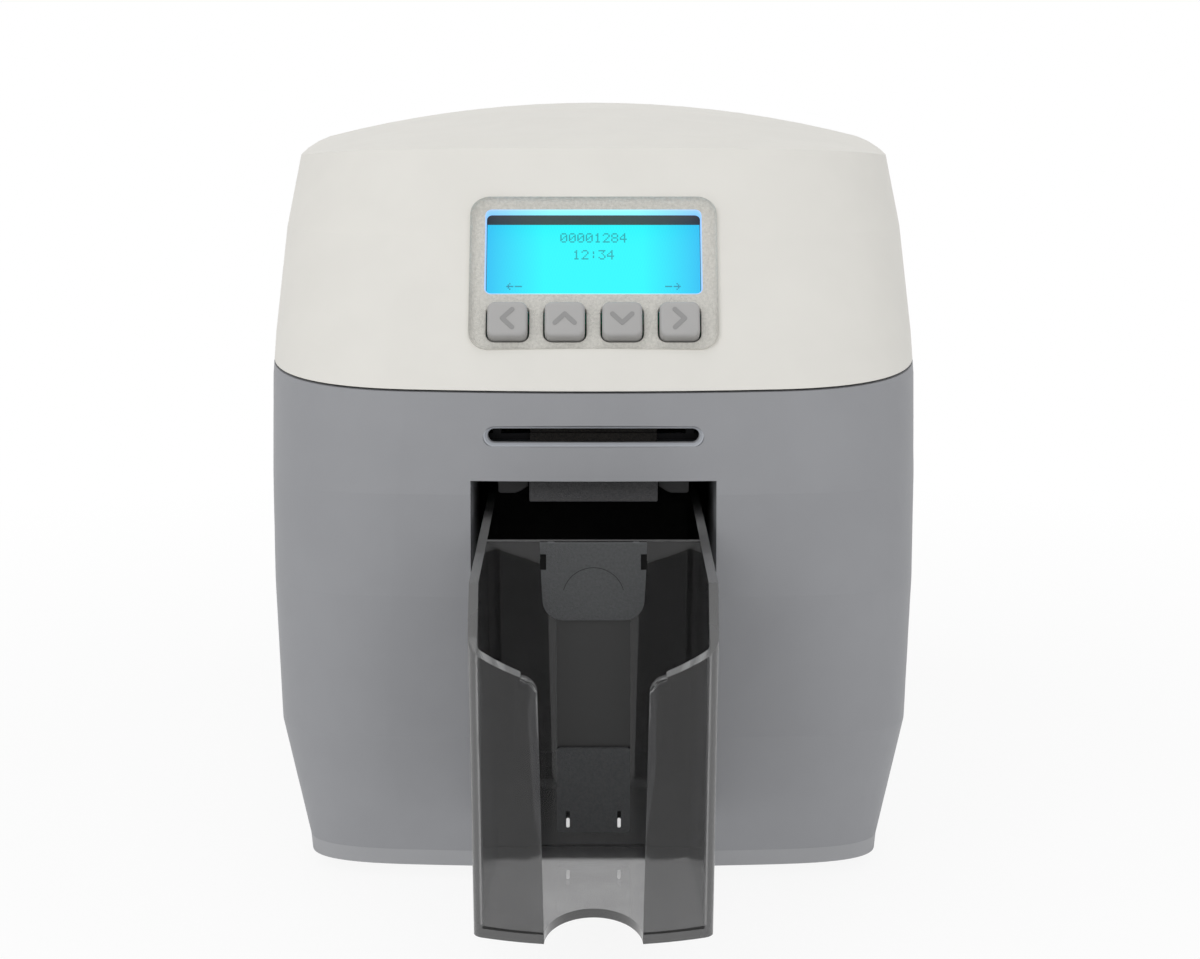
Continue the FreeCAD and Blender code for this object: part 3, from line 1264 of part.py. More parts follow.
head = new_body("PrintHead")
HEAD_LOW = "path_high + head_lift"
pad(head, "YZ_Plane", [
    ("head_front", HEAD_LOW + " + head_nose"), ("head_front + head_deep / 2 - head_nose / 2", HEAD_LOW),
    ("head_front + head_deep / 2 + head_nose / 2", HEAD_LOW), ("head_front + head_deep", HEAD_LOW + " + head_nose"),
    ("head_front + head_deep", HEAD_LOW + " + head_tall"), ("head_front", HEAD_LOW + " + head_tall"),
], "2 * head_half", "-head_half")
sub_part(head, "printhead")

BRACKET_FRONT = "head_front + head_deep / 2 - bracket_deep / 2"
bracket = new_body("HeadBracket")
pad(bracket, "XZ_Plane", [
    ("-bracket_half", HEAD_LOW + " + head_nose"), ("-head_half", HEAD_LOW + " + head_nose"),
    ("-head_half", "bracket_top - bracket_thick"), ("head_half", "bracket_top - bracket_thick"),
    ("head_half", HEAD_LOW + " + head_nose"), ("bracket_half", HEAD_LOW + " + head_nose"),
    ("bracket_half", "bracket_top"), ("-bracket_half", "bracket_top"),
], "bracket_deep", "-(%s) - bracket_deep" % BRACKET_FRONT)
sub_part(bracket, "head_bracket")

# Hinges


def hinge_bracket(middle):
    """Eye, neck and foot of one hinge bracket."""
    start = middle - size.eye_half
    end = middle + size.eye_half
    seat = size.hinge_high - size.hinge_inset - size.seam_gap
    half = size.eye_radius * 2 / 3
    neck = slab((start, end), (size.hinge_back - half, size.hinge_back + half),
                (seat - size.leg_foot, size.hinge_high))
    foot = slab((start, end), (size.hinge_back - half, size.body_long - size.wall),
                (seat - size.leg_foot - size.leg_long, seat - size.leg_foot))
    whole = hinge_barrel(size.eye_radius, start, end).fuse(neck).fuse(foot)
    return whole.cut(hinge_barrel(size.pin_radius, start - size.overrun, end + size.overrun))


feature("hinge_brackets", Part.makeCompound([hinge_bracket(middle) for middle in hinge_sides()]))
pin_half = size.eye_half + size.lug_gap + size.lug_long
feature("hinge_pins", Part.makeCompound([
    hinge_barrel(size.pin_radius, middle - pin_half, middle + pin_half) for middle in hinge_sides()
]))

# Release button in the casing's right side

BUTTON_IN = "button_out - button_deep"
button = joined("ButtonBody", [
    box("ButtonCap", ("button_deep + button_proud", "button_long", "button_tall"),
        (BUTTON_IN, "button_back - button_long / 2", "button_level - button_tall / 2")),
    box("ButtonFlange", ("button_flange", "button_long + 2 * button_lip", "button_tall + 2 * button_lip"),
        (BUTTON_IN, "button_back - button_long / 2 - button_lip", "button_level - button_tall / 2 - button_lip")),
])
sub_part(button, "lid_button")


def button_spring():
    """Coil spring between the button and the back of its housing."""
    start = size.button_out - size.button_deep - size.spring_long
    end = start + size.spring_long - size.spring_wire - size.run_gap / 2
    turn_length = (end - start - size.spring_wire) / size.spring_turns
    helix = Part.makeHelix(turn_length, end - start - size.spring_wire, size.spring_radius)
    half = size.spring_wire / 2
    corners = [Vector(size.spring_radius + across * half, 0, up * half)
               for across, up in ((-1, -1), (1, -1), (1, 1), (-1, 1))]
    coil = Part.Wire(helix.Edges).makePipeShell([Part.makePolygon(corners + corners[:1])], True, True)
    seat = Placement(Vector(start + size.spring_wire / 2, size.button_back, size.button_level), TURN["x"])
    return coil.transformGeometry(seat.toMatrix())


feature("button_spring", button_spring())

# Rear panel with its sockets

PANEL_IN = "body_long - wall - plate_thick"
rear_panel = new_body("RearPanel")
pad(rear_panel, "XZ_Plane", [
    ("-panel_out", "panel_base"), ("panel_out", "panel_base"), ("panel_out", "panel_top"), ("-panel_out", "panel_top"),
], "plate_thick", "-body_long + wall")
pocket(rear_panel, "XZ_Plane", [
    rectangle("usb_wide", "usb_tall", "usb_across", "jack_level"),
    rectangle("lan_wide", "lan_tall", "-lan_across", "jack_level"),
], [(("jack_across", "jack_level"), "jack_radius")], name="Sockets", offset="-body_long + wall")
sub_part(rear_panel, "rear_panel")


def socket(label, across, wide, tall, tongued):
    """Open-fronted socket shell, with or without a contact tongue."""
    shell = cut(label + "Shell", box(label + "Block", (wide, "socket_deep", tall),
                                     ("%s - %s / 2" % (across, wide), PANEL_IN + " + plate_thick + socket_proud - socket_deep",
                                      "jack_level - %s / 2" % tall)),
                [box(label + "Mouth", (wide + " - 2 * socket_skin", "socket_deep", tall + " - 2 * socket_skin"),
                     ("%s - %s / 2 + socket_skin" % (across, wide),
                      PANEL_IN + " + plate_thick + socket_proud - socket_deep + socket_skin",
                      "jack_level - %s / 2 + socket_skin" % tall))])
    if not tongued:
        return sub_part(shell, label)
    tongue = box(label + "Tongue", (wide + " / 2", "socket_deep - 2 * socket_skin", "socket_skin * 2"),
                 ("%s - %s / 4" % (across, wide), PANEL_IN + " + plate_thick + socket_proud - socket_deep",
                  "jack_level - socket_skin"))
    return sub_part(joined(label + "Socket", [shell, tongue]), label)


socket("usb_port", "usb_across", "usb_wide", "usb_tall", True)
socket("ethernet_port", "-lan_across", "lan_wide", "lan_tall", False)
jack_block = box("JackBlock", ("jack_side", "jack_long", "jack_side"),
                 ("jack_across - jack_side / 2", PANEL_IN + " - jack_long", "jack_level - jack_side / 2"))
jack_nose = rod("JackNose", "jack_radius", "plate_thick", ("jack_across", PANEL_IN, "jack_level"), "y")
jack_bore = rod("JackBore", "jack_radius - socket_skin", "jack_long / 2 + plate_thick + overrun",
                ("jack_across", PANEL_IN + " - jack_long / 2", "jack_level"), "y")
jack_pin = rod("JackPin", "socket_skin", "jack_long / 2 + plate_thick / 2",
               ("jack_across", PANEL_IN + " - jack_long / 2 - socket_skin", "jack_level"), "y")
sub_part(joined("PowerInlet", [cut("JackShell", joined("JackBody", [jack_block, jack_nose]), [jack_bore]), jack_pin]),
         "power_inlet")

# Main board on the left side plate

PCB_NEAR = "-chassis_half - sheet - pcb_off"
PCB_CORNERS = [(back, level) for back in ("pcb_front + 2 * spacer_radius", "pcb_rear - 2 * spacer_radius")
               for level in ("pcb_low + 2 * spacer_radius", "pcb_high - 2 * spacer_radius")]
pcb = new_body("MainBoard")
pad(pcb, "YZ_Plane", [
    ("pcb_front", "pcb_low"), ("pcb_rear", "pcb_low"), ("pcb_rear", "pcb_high"), ("pcb_front", "pcb_high"),
], "board_thick", PCB_NEAR + " - board_thick")
for number, (side, back, level) in enumerate([
        ("chip_side", "pcb_front + 2 * chip_side", "pcb_low + chip_side"),
        ("chip_side / 2", "pcb_front + 4 * chip_side", "pcb_low + chip_side"),
        ("chip_side / 2", "pcb_front + 4 * chip_side", "pcb_low + 2 * chip_side")]):
    pad(pcb, "YZ_Plane", [
        (back, level), ("%s + %s" % (back, side), level),
        ("%s + %s" % (back, side), "%s + %s" % (level, side)), (back, "%s + %s" % (level, side)),
    ], "chip_thick", PCB_NEAR + " - board_thick - chip_thick", "Chip%d" % number)
sub_part(pcb, "main_board")
spacers = []
for back, level in PCB_CORNERS:
    spacers.append(many_sided("Spacer%d" % len(spacers), SPACER_SIDES, "spacer_radius", "pcb_off",
                              (PCB_NEAR, back, level), "x"))
sub_part(joined("BoardSpacers", spacers), "board_spacers")


def report_facets():
    """Counts the facets of each piece, to keep the model light."""
    total = 0
    for item in SUB_PARTS:
        mesh = MeshPart.meshFromShape(Shape=item.Shape, LinearDeflection=size.fit_gap / 2, AngularDeflection=0.5)
        print("%-18s %6d facets, %d solids" % (item.Label, mesh.CountFacets, len(item.Shape.Solids)))
        total += mesh.CountFacets
    print("facets in all:", total)


def write_parts():
    """Checks every object and writes each piece to its own file."""
    doc.recompute()
    for item in doc.Objects:
        if "Invalid" in item.State or "Error" in item.State:
            raise ValueError("%s failed to build" % item.Label)
    for item in SUB_PARTS:
        if item.Shape.isNull() or not item.Shape.isValid():
            raise ValueError("%s has no valid shape" % item.Label)
    os.makedirs("parts", exist_ok=True)
    for item in SUB_PARTS:
        item.Shape.exportStep("parts/%s.step" % item.Label)


write_parts()
report_facets()
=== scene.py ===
import math

import bmesh
import bpy
from mathutils import Matrix, Vector


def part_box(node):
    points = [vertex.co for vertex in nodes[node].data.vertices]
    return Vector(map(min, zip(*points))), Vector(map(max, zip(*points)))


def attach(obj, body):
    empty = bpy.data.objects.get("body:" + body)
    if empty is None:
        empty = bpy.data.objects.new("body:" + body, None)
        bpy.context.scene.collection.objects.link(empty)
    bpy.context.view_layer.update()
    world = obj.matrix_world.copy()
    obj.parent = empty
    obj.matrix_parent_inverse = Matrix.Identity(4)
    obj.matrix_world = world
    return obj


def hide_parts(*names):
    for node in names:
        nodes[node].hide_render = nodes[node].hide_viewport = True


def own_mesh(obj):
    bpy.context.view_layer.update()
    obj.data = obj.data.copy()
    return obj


# Looks of the card printer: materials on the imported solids, and the small pieces that only a picture
# needs. Everything is in metres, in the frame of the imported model.

MM = 0.001
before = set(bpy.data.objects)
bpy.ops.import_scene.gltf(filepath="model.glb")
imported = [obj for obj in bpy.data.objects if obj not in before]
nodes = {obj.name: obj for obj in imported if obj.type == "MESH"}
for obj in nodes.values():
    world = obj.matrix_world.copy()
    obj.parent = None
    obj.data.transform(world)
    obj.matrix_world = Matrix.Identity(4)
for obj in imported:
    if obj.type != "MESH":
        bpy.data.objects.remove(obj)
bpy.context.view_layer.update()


# Node materials


def new_material(name):
    """Empty node material with its shader and an object-space coordinate."""
    made = bpy.data.materials.new(name)
    made.use_nodes = True
    tree = made.node_tree
    return made, tree, tree.nodes["Principled BSDF"], tree.nodes.new("ShaderNodeTexCoord").outputs["Object"]


def set_sockets(node, values):
    for name, value in values.items():
        node.inputs[name].default_value = value


def feed(tree, slot, value):
    """Links a socket to an input, or sets the input to a plain value."""
    if isinstance(value, bpy.types.NodeSocket):
        tree.links.new(value, slot)
    else:
        slot.default_value = value


def stretched(tree, place, stretch):
    """Coordinates scaled along each axis, for streaks."""
    scale = tree.nodes.new("ShaderNodeMapping")
    set_sockets(scale, {"Scale": stretch})
    tree.links.new(place, scale.inputs["Vector"])
    return scale.outputs["Vector"]


def along(tree, place, axis):
    """One coordinate of a place."""
    split = tree.nodes.new("ShaderNodeSeparateXYZ")
    tree.links.new(place, split.inputs["Vector"])
    return split.outputs[axis]


def noise(tree, place, size, detail=4.0, rough=0.6):
    """Noise whose lumps are about this size."""
    made = tree.nodes.new("ShaderNodeTexNoise")
    set_sockets(made, {"Scale": 1 / size, "Detail": detail, "Roughness": rough})
    tree.links.new(place, made.inputs["Vector"])
    return made.outputs["Fac"]


def spread(tree, value, low, high, start=0.35, end=0.65):
    """Maps a value's middle range to another range."""
    made = tree.nodes.new("ShaderNodeMapRange")
    set_sockets(made, {"From Min": start, "From Max": end, "To Min": low, "To Max": high})
    tree.links.new(value, made.inputs["Value"])
    return made.outputs["Result"]


def worked(tree, kind, *values):
    """Outcome of one sum on sockets or plain values."""
    made = tree.nodes.new("ShaderNodeMath")
    made.operation = kind
    for slot, value in zip(made.inputs, values):
        feed(tree, slot, value)
    return made.outputs["Value"]


def blended(tree, factor, first, second):
    """Colour between two colours or colour sockets."""
    made = tree.nodes.new("ShaderNodeMix")
    made.data_type = "RGBA"
    tree.links.new(factor, made.inputs["Factor"])
    slots = [one for one in made.inputs if one.type == "RGBA"]
    for slot, colour in zip(slots, (first, second)):
        feed(tree, slot, colour if isinstance(colour, bpy.types.NodeSocket) else (*colour, 1))
    return [one for one in made.outputs if one.type == "RGBA"][0]


def clouded(tree, shader, value, first, second):
    """Gives the shader a colour that drifts between two over a value's middle range."""
    mixed = blended(tree, spread(tree, value, 0, 1), first, second)
    tree.links.new(mixed, shader.inputs["Base Color"])


def roughened(tree, shader, value, low, high):
    """Gives the shader a roughness between two over a value's middle range."""
    tree.links.new(spread(tree, value, low, high), shader.inputs["Roughness"])


def bumped(tree, shader, height, depth):
    """Lays a height on the shader's normal."""
    made = tree.nodes.new("ShaderNodeBump")
    set_sockets(made, {"Distance": depth, "Strength": 1.0})
    tree.links.new(height, made.inputs["Height"])
    tree.links.new(made.outputs["Normal"], shader.inputs["Normal"])


def shades(colour, share):
    """A colour a little darker and a little lighter."""
    darker = [channel * (1 - share) for channel in colour]
    lighter = [min(1, channel * (1 + share)) for channel in colour]
    return darker, lighter


def moulded(name, colour, rough, grain, depth, tint=0.02, **values):
    """Moulded plastic: fine eroded grain, faint clouding and uneven sheen. Sizes are in millimetres."""
    made, tree, shader, place = new_material(name)
    fine = noise(tree, place, grain * MM, detail=3, rough=0.7)
    clouded(tree, shader, noise(tree, place, 18 * MM, detail=2), *shades(colour, tint))
    roughened(tree, shader, fine, *rough)
    bumped(tree, shader, fine, depth * MM)
    set_sockets(shader, values)
    return made


def metal(name, colour, rough, stretch, grain=0.25):
    """Sheet or turned metal with fine streaks along one axis."""
    made, tree, shader, place = new_material(name)
    streak = noise(tree, stretched(tree, place, stretch), grain * MM)
    clouded(tree, shader, noise(tree, place, 12 * MM, detail=3), *shades(colour, 0.08))
    roughened(tree, shader, streak, *rough)
    bumped(tree, shader, streak, 0.004 * MM)
    set_sockets(shader, {"Metallic": 1.0})
    return made


def grained(name, colour, dark, size, depth, rough=(0.6, 0.75)):
    """Coarse pebbled grain with patches of a darker shade. Sizes are in millimetres."""
    made, tree, shader, place = new_material(name)
    cells = tree.nodes.new("ShaderNodeTexVoronoi")
    set_sockets(cells, {"Scale": 1 / (size * MM)})
    tree.links.new(place, cells.inputs["Vector"])
    tops = spread(tree, cells.outputs["Distance"], 1, 0, 0.1, 0.6)
    lumps = noise(tree, place, 1.7 * size * MM, detail=3)
    clouded(tree, shader, lumps, dark, colour)
    roughened(tree, shader, lumps, *rough)
    bumped(tree, shader, tops, depth * MM)
    return made


def smoked(name, colour, rough, clear):
    """Smoked see-through plastic with faint flow marks; clear is the share that passes light."""
    made, tree, shader, place = new_material(name)
    flow = noise(tree, stretched(tree, place, (1, 1, 0.3)), 14 * MM, detail=2)
    clouded(tree, shader, flow, *shades(colour, 0.04))
    roughened(tree, shader, flow, *rough)
    bumped(tree, shader, flow, 0.005 * MM)
    set_sockets(shader, {"Transmission Weight": clear, "IOR": 1.45})
    return made


def dock_plastic_painted_light():
    """Dull black plastic of the dock, with painted light: grey at its front, where light reaches in, going
    to black towards the rear.
    """
    made, tree, shader, place = new_material("dock_plastic_painted_light")
    # Painted light: the dock's front is a lighter grey that fades to the plastic's own black towards the
    # rear
    deep = spread(tree, along(tree, place, "Y"), 0, 1, -108 * MM, -55 * MM)
    mixed = blended(tree, deep, (0.45, 0.46, 0.48), (0.004, 0.004, 0.004))
    tree.links.new(mixed, shader.inputs["Base Color"])
    grain = noise(tree, place, 0.5 * MM, detail=3)
    roughened(tree, shader, grain, 0.6, 0.7)
    bumped(tree, shader, grain, 0.03 * MM)
    set_sockets(shader, {"Specular IOR Level": 0.03})
    return made


def off_middle(tree, place, start, end):
    """Zero near the middle of the screen's width, and one from an end outward."""
    return spread(tree, worked(tree, "ABSOLUTE", along(tree, place, "X")), 0, 1, start, end)


def lit_screen():
    """Backlit liquid-crystal glass: bluer towards its ends, with a faint dot grid."""
    made, tree, shader, place = new_material("lit_screen")
    glow = blended(tree, off_middle(tree, place, 15 * MM, 34 * MM), (0.035, 0.95, 1.0), (0.045, 0.52, 0.93))
    dots = tree.nodes.new("ShaderNodeTexChecker")
    set_sockets(dots, {"Scale": 1 / (0.45 * MM)})
    tree.links.new(place, dots.inputs["Vector"])
    dotted = blended(tree, spread(tree, dots.outputs["Fac"], 0, 0.06, 0, 1), glow, (0, 0, 0))
    tree.links.new(dotted, shader.inputs["Emission Color"])
    set_sockets(shader, {"Base Color": (0.003, 0.03, 0.04, 1), "Roughness": 0.4, "Specular IOR Level": 0.2,
                         "Emission Strength": 1.0})
    return made


def screen_lit(name, middle, ends, base):
    """Plastic or ink in the screen's light, of one colour at the middle and another towards the ends."""
    made, tree, shader, place = new_material(name)
    light = blended(tree, off_middle(tree, place, 12 * MM, 33 * MM), middle, ends)
    tree.links.new(light, shader.inputs["Emission Color"])
    grain = noise(tree, place, 0.5 * MM, detail=3)
    clouded(tree, shader, grain, *shades(base, 0.05))
    bumped(tree, shader, grain, 0.03 * MM)
    set_sockets(shader, {"Roughness": 0.6, "Emission Strength": 1.0})
    return made


def laminate():
    """Circuit board: solder mask over a net of tracks."""
    made, tree, shader, place = new_material("green_laminate")
    bricks = tree.nodes.new("ShaderNodeTexBrick")
    set_sockets(bricks, {"Scale": 160, "Mortar Size": 0.03, "Mortar": (0.03, 0.22, 0.09, 1),
                         "Color1": (0.012, 0.10, 0.045, 1), "Color2": (0.014, 0.12, 0.05, 1)})
    tree.links.new(place, bricks.inputs["Vector"])
    tree.links.new(bricks.outputs["Color"], shader.inputs["Base Color"])
    roughened(tree, shader, noise(tree, place, 3 * MM), 0.25, 0.4)
    bumped(tree, shader, bricks.outputs["Fac"], 0.03 * MM)
    return made


# Colours of the dye film's bands, and the length of film over which they repeat there and back
DYE_BANDS = ((0.75, 0.52, 0.02), (0.45, 0.02, 0.16), (0.01, 0.16, 0.42), (0.02, 0.02, 0.02))
DYE_RUN = 60 * MM


def dye_film():
    """Dye film in bands of yellow, magenta, cyan and black along the ribbon."""
    made, tree, shader, place = new_material("dye_film")
    run = worked(tree, "PINGPONG", along(tree, place, "Y"), DYE_RUN)
    ramp = tree.nodes.new("ShaderNodeValToRGB")
    ramp.color_ramp.interpolation = "CONSTANT"
    points = ramp.color_ramp.elements
    for number, colour in enumerate(DYE_BANDS):
        stop = number / len(DYE_BANDS)
        point = points[number] if number < 2 else points.new(stop)
        point.position = stop
        point.color = (*colour, 1)
    tree.links.new(spread(tree, run, 0, 1, 0, DYE_RUN), ramp.inputs["Fac"])
    tree.links.new(ramp.outputs["Color"], shader.inputs["Base Color"])
    ripple = noise(tree, stretched(tree, place, (0.1, 1, 1)), 2 * MM)
    roughened(tree, shader, ripple, 0.18, 0.3)
    bumped(tree, shader, ripple, 0.05 * MM)
    return made


COVER = moulded("cover_plastic", (0.80, 0.785, 0.74), (0.55, 0.65), 0.35, 0.02, 0.01)
CASING = moulded("casing_plastic", (0.305, 0.31, 0.327), (0.5, 0.6), 0.35, 0.02, 0.015)
TRAY = moulded("tray_plastic", (0.36, 0.365, 0.38), (0.4, 0.5), 0.4, 0.02)
BLACK = moulded("black_plastic", (0.012, 0.012, 0.013), (0.5, 0.65), 0.5, 0.03)
DOCK = dock_plastic_painted_light()
# Deep black for the sockets behind the gate's clip notches, and as painted shade on the hopper's rear wall,
# where it stands in for the dark seen through the smoked plastic
SOCKET_AND_SHADE = moulded("socket_plastic_and_painted_shade", (0.006, 0.006, 0.006), (0.6, 0.7), 0.5, 0.03, **{
    "Specular IOR Level": 0.1})
# Painted highlight: white, faintly glowing plastic for plates in the pad's clip slots, standing in for the
# bright white seen there
CLIP_GLINT = moulded("clip_slot_painted_highlight", (0.95, 0.95, 0.95), (0.2, 0.3), 0.5, 0.01, **{
    "Emission Color": (1, 1, 1, 1), "Emission Strength": 0.35})
STRIP = moulded("strip_plastic", (0.026, 0.026, 0.026), (0.3, 0.4), 0.5, 0.02)
FLAP = moulded("flap_plastic", (0.035, 0.035, 0.036), (0.5, 0.6), 0.5, 0.02)
GUIDE = moulded("guide_plastic", (0.04, 0.04, 0.042), (0.5, 0.6), 0.4, 0.02)
WELL = moulded("well_plastic", (0.17, 0.055, 0.045), (0.5, 0.65), 0.5, 0.03)
# Painted highlight: a lighter blue-grey than the casing, for the sheen on the hand-feed slot's chamfer
SLOT_EDGE_HIGHLIGHT = moulded("slot_edge_painted_highlight", (0.42, 0.44, 0.475), (0.35, 0.45), 0.3, 0.01, 0.01)
PLUG = moulded("part_plastic", (0.02, 0.02, 0.022), (0.35, 0.5), 0.3, 0.02)
KEY = moulded("key_plastic", (0.42, 0.415, 0.41), (0.45, 0.55), 0.3, 0.012)
MARK = moulded("mark_plastic", (0.29, 0.288, 0.286), (0.5, 0.6), 0.3, 0.012)
WHITE = moulded("gear_plastic", (0.72, 0.71, 0.66), (0.4, 0.5), 0.5, 0.02)
SPOOL = moulded("spool_plastic", (0.10, 0.10, 0.11), (0.35, 0.45), 0.4, 0.02)
BEZEL = grained("bezel_plastic", (0.70, 0.685, 0.64), (0.59, 0.58, 0.54), 0.55, 0.10)
COWL = grained("cowl_plastic", (0.098, 0.098, 0.102), (0.07, 0.07, 0.073), 0.45, 0.08)
GATE = grained("gate_plastic", (0.09, 0.093, 0.097), (0.066, 0.069, 0.071), 0.45, 0.08)
RUBBER = grained("black_rubber", (0.03, 0.03, 0.03), (0.02, 0.02, 0.02), 0.5, 0.05, (0.75, 0.9))
SOFT = grained("grey_rubber", (0.20, 0.21, 0.23), (0.15, 0.16, 0.18), 0.35, 0.05, (0.7, 0.85))
BRISTLE = grained("bristle_fibre", (0.04, 0.035, 0.03), (0.005, 0.005, 0.005), 0.25, 0.25, (0.8, 0.95))
SHEET = metal("sheet_steel", (0.55, 0.56, 0.57), (0.3, 0.45), (1, 0.05, 1))
# Black coated steel of the card deck, also used as painted shade for the gate's thumb line
COATED_AND_SHADE = metal("coated_steel_and_painted_shade", (0.015, 0.015, 0.016), (0.4, 0.55), (1, 0.05, 1))
SHAFT = metal("ground_steel", (0.62, 0.62, 0.63), (0.16, 0.26), (0.05, 1, 1), 0.2)
SCREW = metal("zinc_steel", (0.50, 0.51, 0.53), (0.25, 0.4), (1, 1, 1), 0.6)
CAN = metal("motor_steel", (0.34, 0.35, 0.37), (0.25, 0.38), (0.05, 1, 1), 0.3)
ALUMINIUM = metal("machined_aluminium", (0.70, 0.71, 0.72), (0.25, 0.35), (0.04, 1, 1), 0.3)
HOPPER = smoked("smoked_plastic", (0.45, 0.45, 0.453), (0.01, 0.03), 1.0)
# Painted shade: a darker copy of the smoked plastic for the hopper's front wall
HOPPER_FRONT_SHADED = smoked("smoked_front_painted_shade", (0.34, 0.34, 0.342), (0.01, 0.03), 1.0)
# Painted highlight: a duller, less clear copy of the smoked plastic that makes the hopper's tops, lip,
# corners and foot read as light grey rims
HOPPER_EDGE_HIGHLIGHT = smoked("smoked_edge_painted_highlight", (0.30, 0.30, 0.302), (0.16, 0.24), 0.6)
SCREEN = lit_screen()
LIT_WALL = screen_lit("lit_wall_plastic", (0.22, 0.80, 0.98), (0.20, 0.45, 0.92), (0.25, 0.25, 0.25))
INK = screen_lit("screen_ink", (0.015, 0.34, 0.38), (0.015, 0.22, 0.42), (0.01, 0.03, 0.03))
BOARD = laminate()
DYE = dye_film()

LOOKS = {
    COVER: ("top_cover",),
    CASING: ("lower_casing",),
    TRAY: ("base_tray", "rear_panel"),
    RUBBER: ("rubber_feet", "feed_roller", "platen_roller", "transport_roller", "drive_belt"),
    SOFT: ("pick_roller",),
    BLACK: ("lcd_module",),
    DOCK: ("hopper_dock",),
    WELL: ("screen_frame",),
    COWL: ("roller_cowl",),
    GUIDE: ("slot_guide",),
    BRISTLE: ("slot_brush",),
    HOPPER: ("hopper",),
    GATE: ("card_gate", "hopper_pad"),
    BEZEL: ("display_bezel",),
    SCREEN: ("lcd_screen",),
    BOARD: ("display_board", "main_board"),
    KEY: ("key_left", "key_up", "key_down", "key_right", "lid_button"),
    SCREW: ("display_screws", "board_spacers", "button_spring", "usb_port", "ethernet_port"),
    SHEET: ("chassis_right", "chassis_left", "head_bracket", "hinge_brackets"),
    COATED_AND_SHADE: ("card_deck",),
    SHAFT: ("tie_bars", "feed_shaft", "platen_shaft", "transport_shaft", "feed_pinch", "transport_pinch",
            "pick_shaft", "motor_shaft", "hinge_pins"),
    WHITE: ("feed_pulley", "platen_pulley", "transport_pulley", "motor_pulley"),
    CAN: ("main_motor",),
    SPOOL: ("supply_spool", "takeup_spool"),
    DYE: ("supply_roll", "takeup_roll", "ribbon_film"),
    ALUMINIUM: ("printhead",),
    PLUG: ("power_inlet",),
}
for look, names in LOOKS.items():
    for name in names:
        nodes[name].data.materials.clear()
        nodes[name].data.materials.append(look)


# Pieces and outlines

UPRIGHT = Matrix.Rotation(math.pi / 2, 4, "X")


def mesh_of(name, shape):
    """Mesh from a shape drawn in code."""
    data = bpy.data.meshes.new(name)
    shape.to_mesh(data)
    shape.free()
    return data


def finish_piece(name, data, look, body, place):
    """Puts a mesh in its place as a piece that rides on a body."""
    data.transform(place)
    data.materials.clear()
    data.materials.append(look)
    piece = bpy.data.objects.new(name, data)
    bpy.context.scene.collection.objects.link(piece)
    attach(piece, body)
    return piece


def add_piece(name, build, look, body, place):
    """Makes a piece from a shape drawn in code, puts it in place and lets it ride on a body."""
    shape = bmesh.new()
    build(shape)
    return finish_piece(name, mesh_of(name, shape), look, body, place)


def smooth_sides(piece, angle=40):
    """Smooth shading, kept sharp over edges that turn more than an angle."""
    for face in piece.data.polygons:
        face.use_smooth = True
    piece.data.set_sharp_from_angle(angle=math.radians(angle))


def in_metres(pairs):
    """Pairs of millimetres as pairs of metres."""
    return [(first * MM, second * MM) for first, second in pairs]


def rounded_outline(wide, tall, radius, steps=6):
    """Points round a rectangle with round corners."""
    points = []
    for number, (x, y) in enumerate(((1, 1), (-1, 1), (-1, -1), (1, -1))):
        middle = Vector((x * (wide / 2 - radius), y * (tall / 2 - radius), 0))
        for step in range(steps + 1):
            turn = math.pi / 2 * (number + step / steps)
            points.append(middle + Vector((math.cos(turn), math.sin(turn), 0)) * radius)
    return points


def moved(outline, across, up, out=0):
    """An outline shifted across, up and out of its plane."""
    return [point + Vector((across, up, out)) for point in outline]


def pair(size, radius, steps, across, up):
    """Outlines of two rectangles with round corners, one at each side of the middle."""
    return [moved(rounded_outline(*size, radius, steps), side * across, up) for side in (-1, 1)]


def span_outline(half, low, high, steps):
    """Outline of an upright rectangle from one height to another, with slightly round corners."""
    return moved(rounded_outline(2 * half, high - low, 0.5 * MM, steps), 0, (low + high) / 2)


def arc_points(middle, radius, start, end, steps=6):
    """Points on an arc from one angle in degrees to another."""
    turns = [math.radians(start + (end - start) * step / steps) for step in range(steps + 1)]
    return [middle + Vector((math.cos(turn), math.sin(turn), 0)) * radius for turn in turns]


def stacked(shape, rings, closed=False):
    """Skin through rings of points, bottom ring first; a closed one joins its last ring to its first."""
    rows = [[shape.verts.new(point) for point in ring] for ring in rings]
    steps = list(zip(rows, rows[1:]))
    if closed:
        steps.append((rows[-1], rows[0]))
    for lower, upper in steps:
        for number in range(len(lower)):
            after = (number + 1) % len(lower)
            shape.faces.new((lower[number], lower[after], upper[after], upper[number]))
    if not closed:
        shape.faces.new(rows[-1])
        shape.faces.new(list(reversed(rows[0])))


def profiled(shape, size, radius, profile, steps=6, shrink=1, closed=False):
    """Skin round a rectangle with round corners, from how far in and how far out each ring of it lies.

    The radius of the corners goes down by the share shrink of each step inward.
    """
    rings = []
    for inward, out in profile:
        wide, tall = size[0] - 2 * inward, size[1] - 2 * inward
        rings.append(moved(rounded_outline(wide, tall, radius - shrink * inward, steps), 0, 0, out))
    stacked(shape, rings, closed)
    bmesh.ops.recalc_face_normals(shape, faces=shape.faces)


def curve_mesh(curve, runs, cyclic):
    """Mesh of a curve through runs of points, with its thickness."""
    for run in runs:
        spline = curve.splines.new("POLY")
        spline.points.add(len(run) - 1)
        for point, spot in zip(spline.points, run):
            point.co = (*spot, 1)
        spline.use_cyclic_u = cyclic
    draft = bpy.data.objects.new("curve_draft", curve)
    data = bpy.data.meshes.new_from_object(draft)
    bpy.data.objects.remove(draft)
    return data


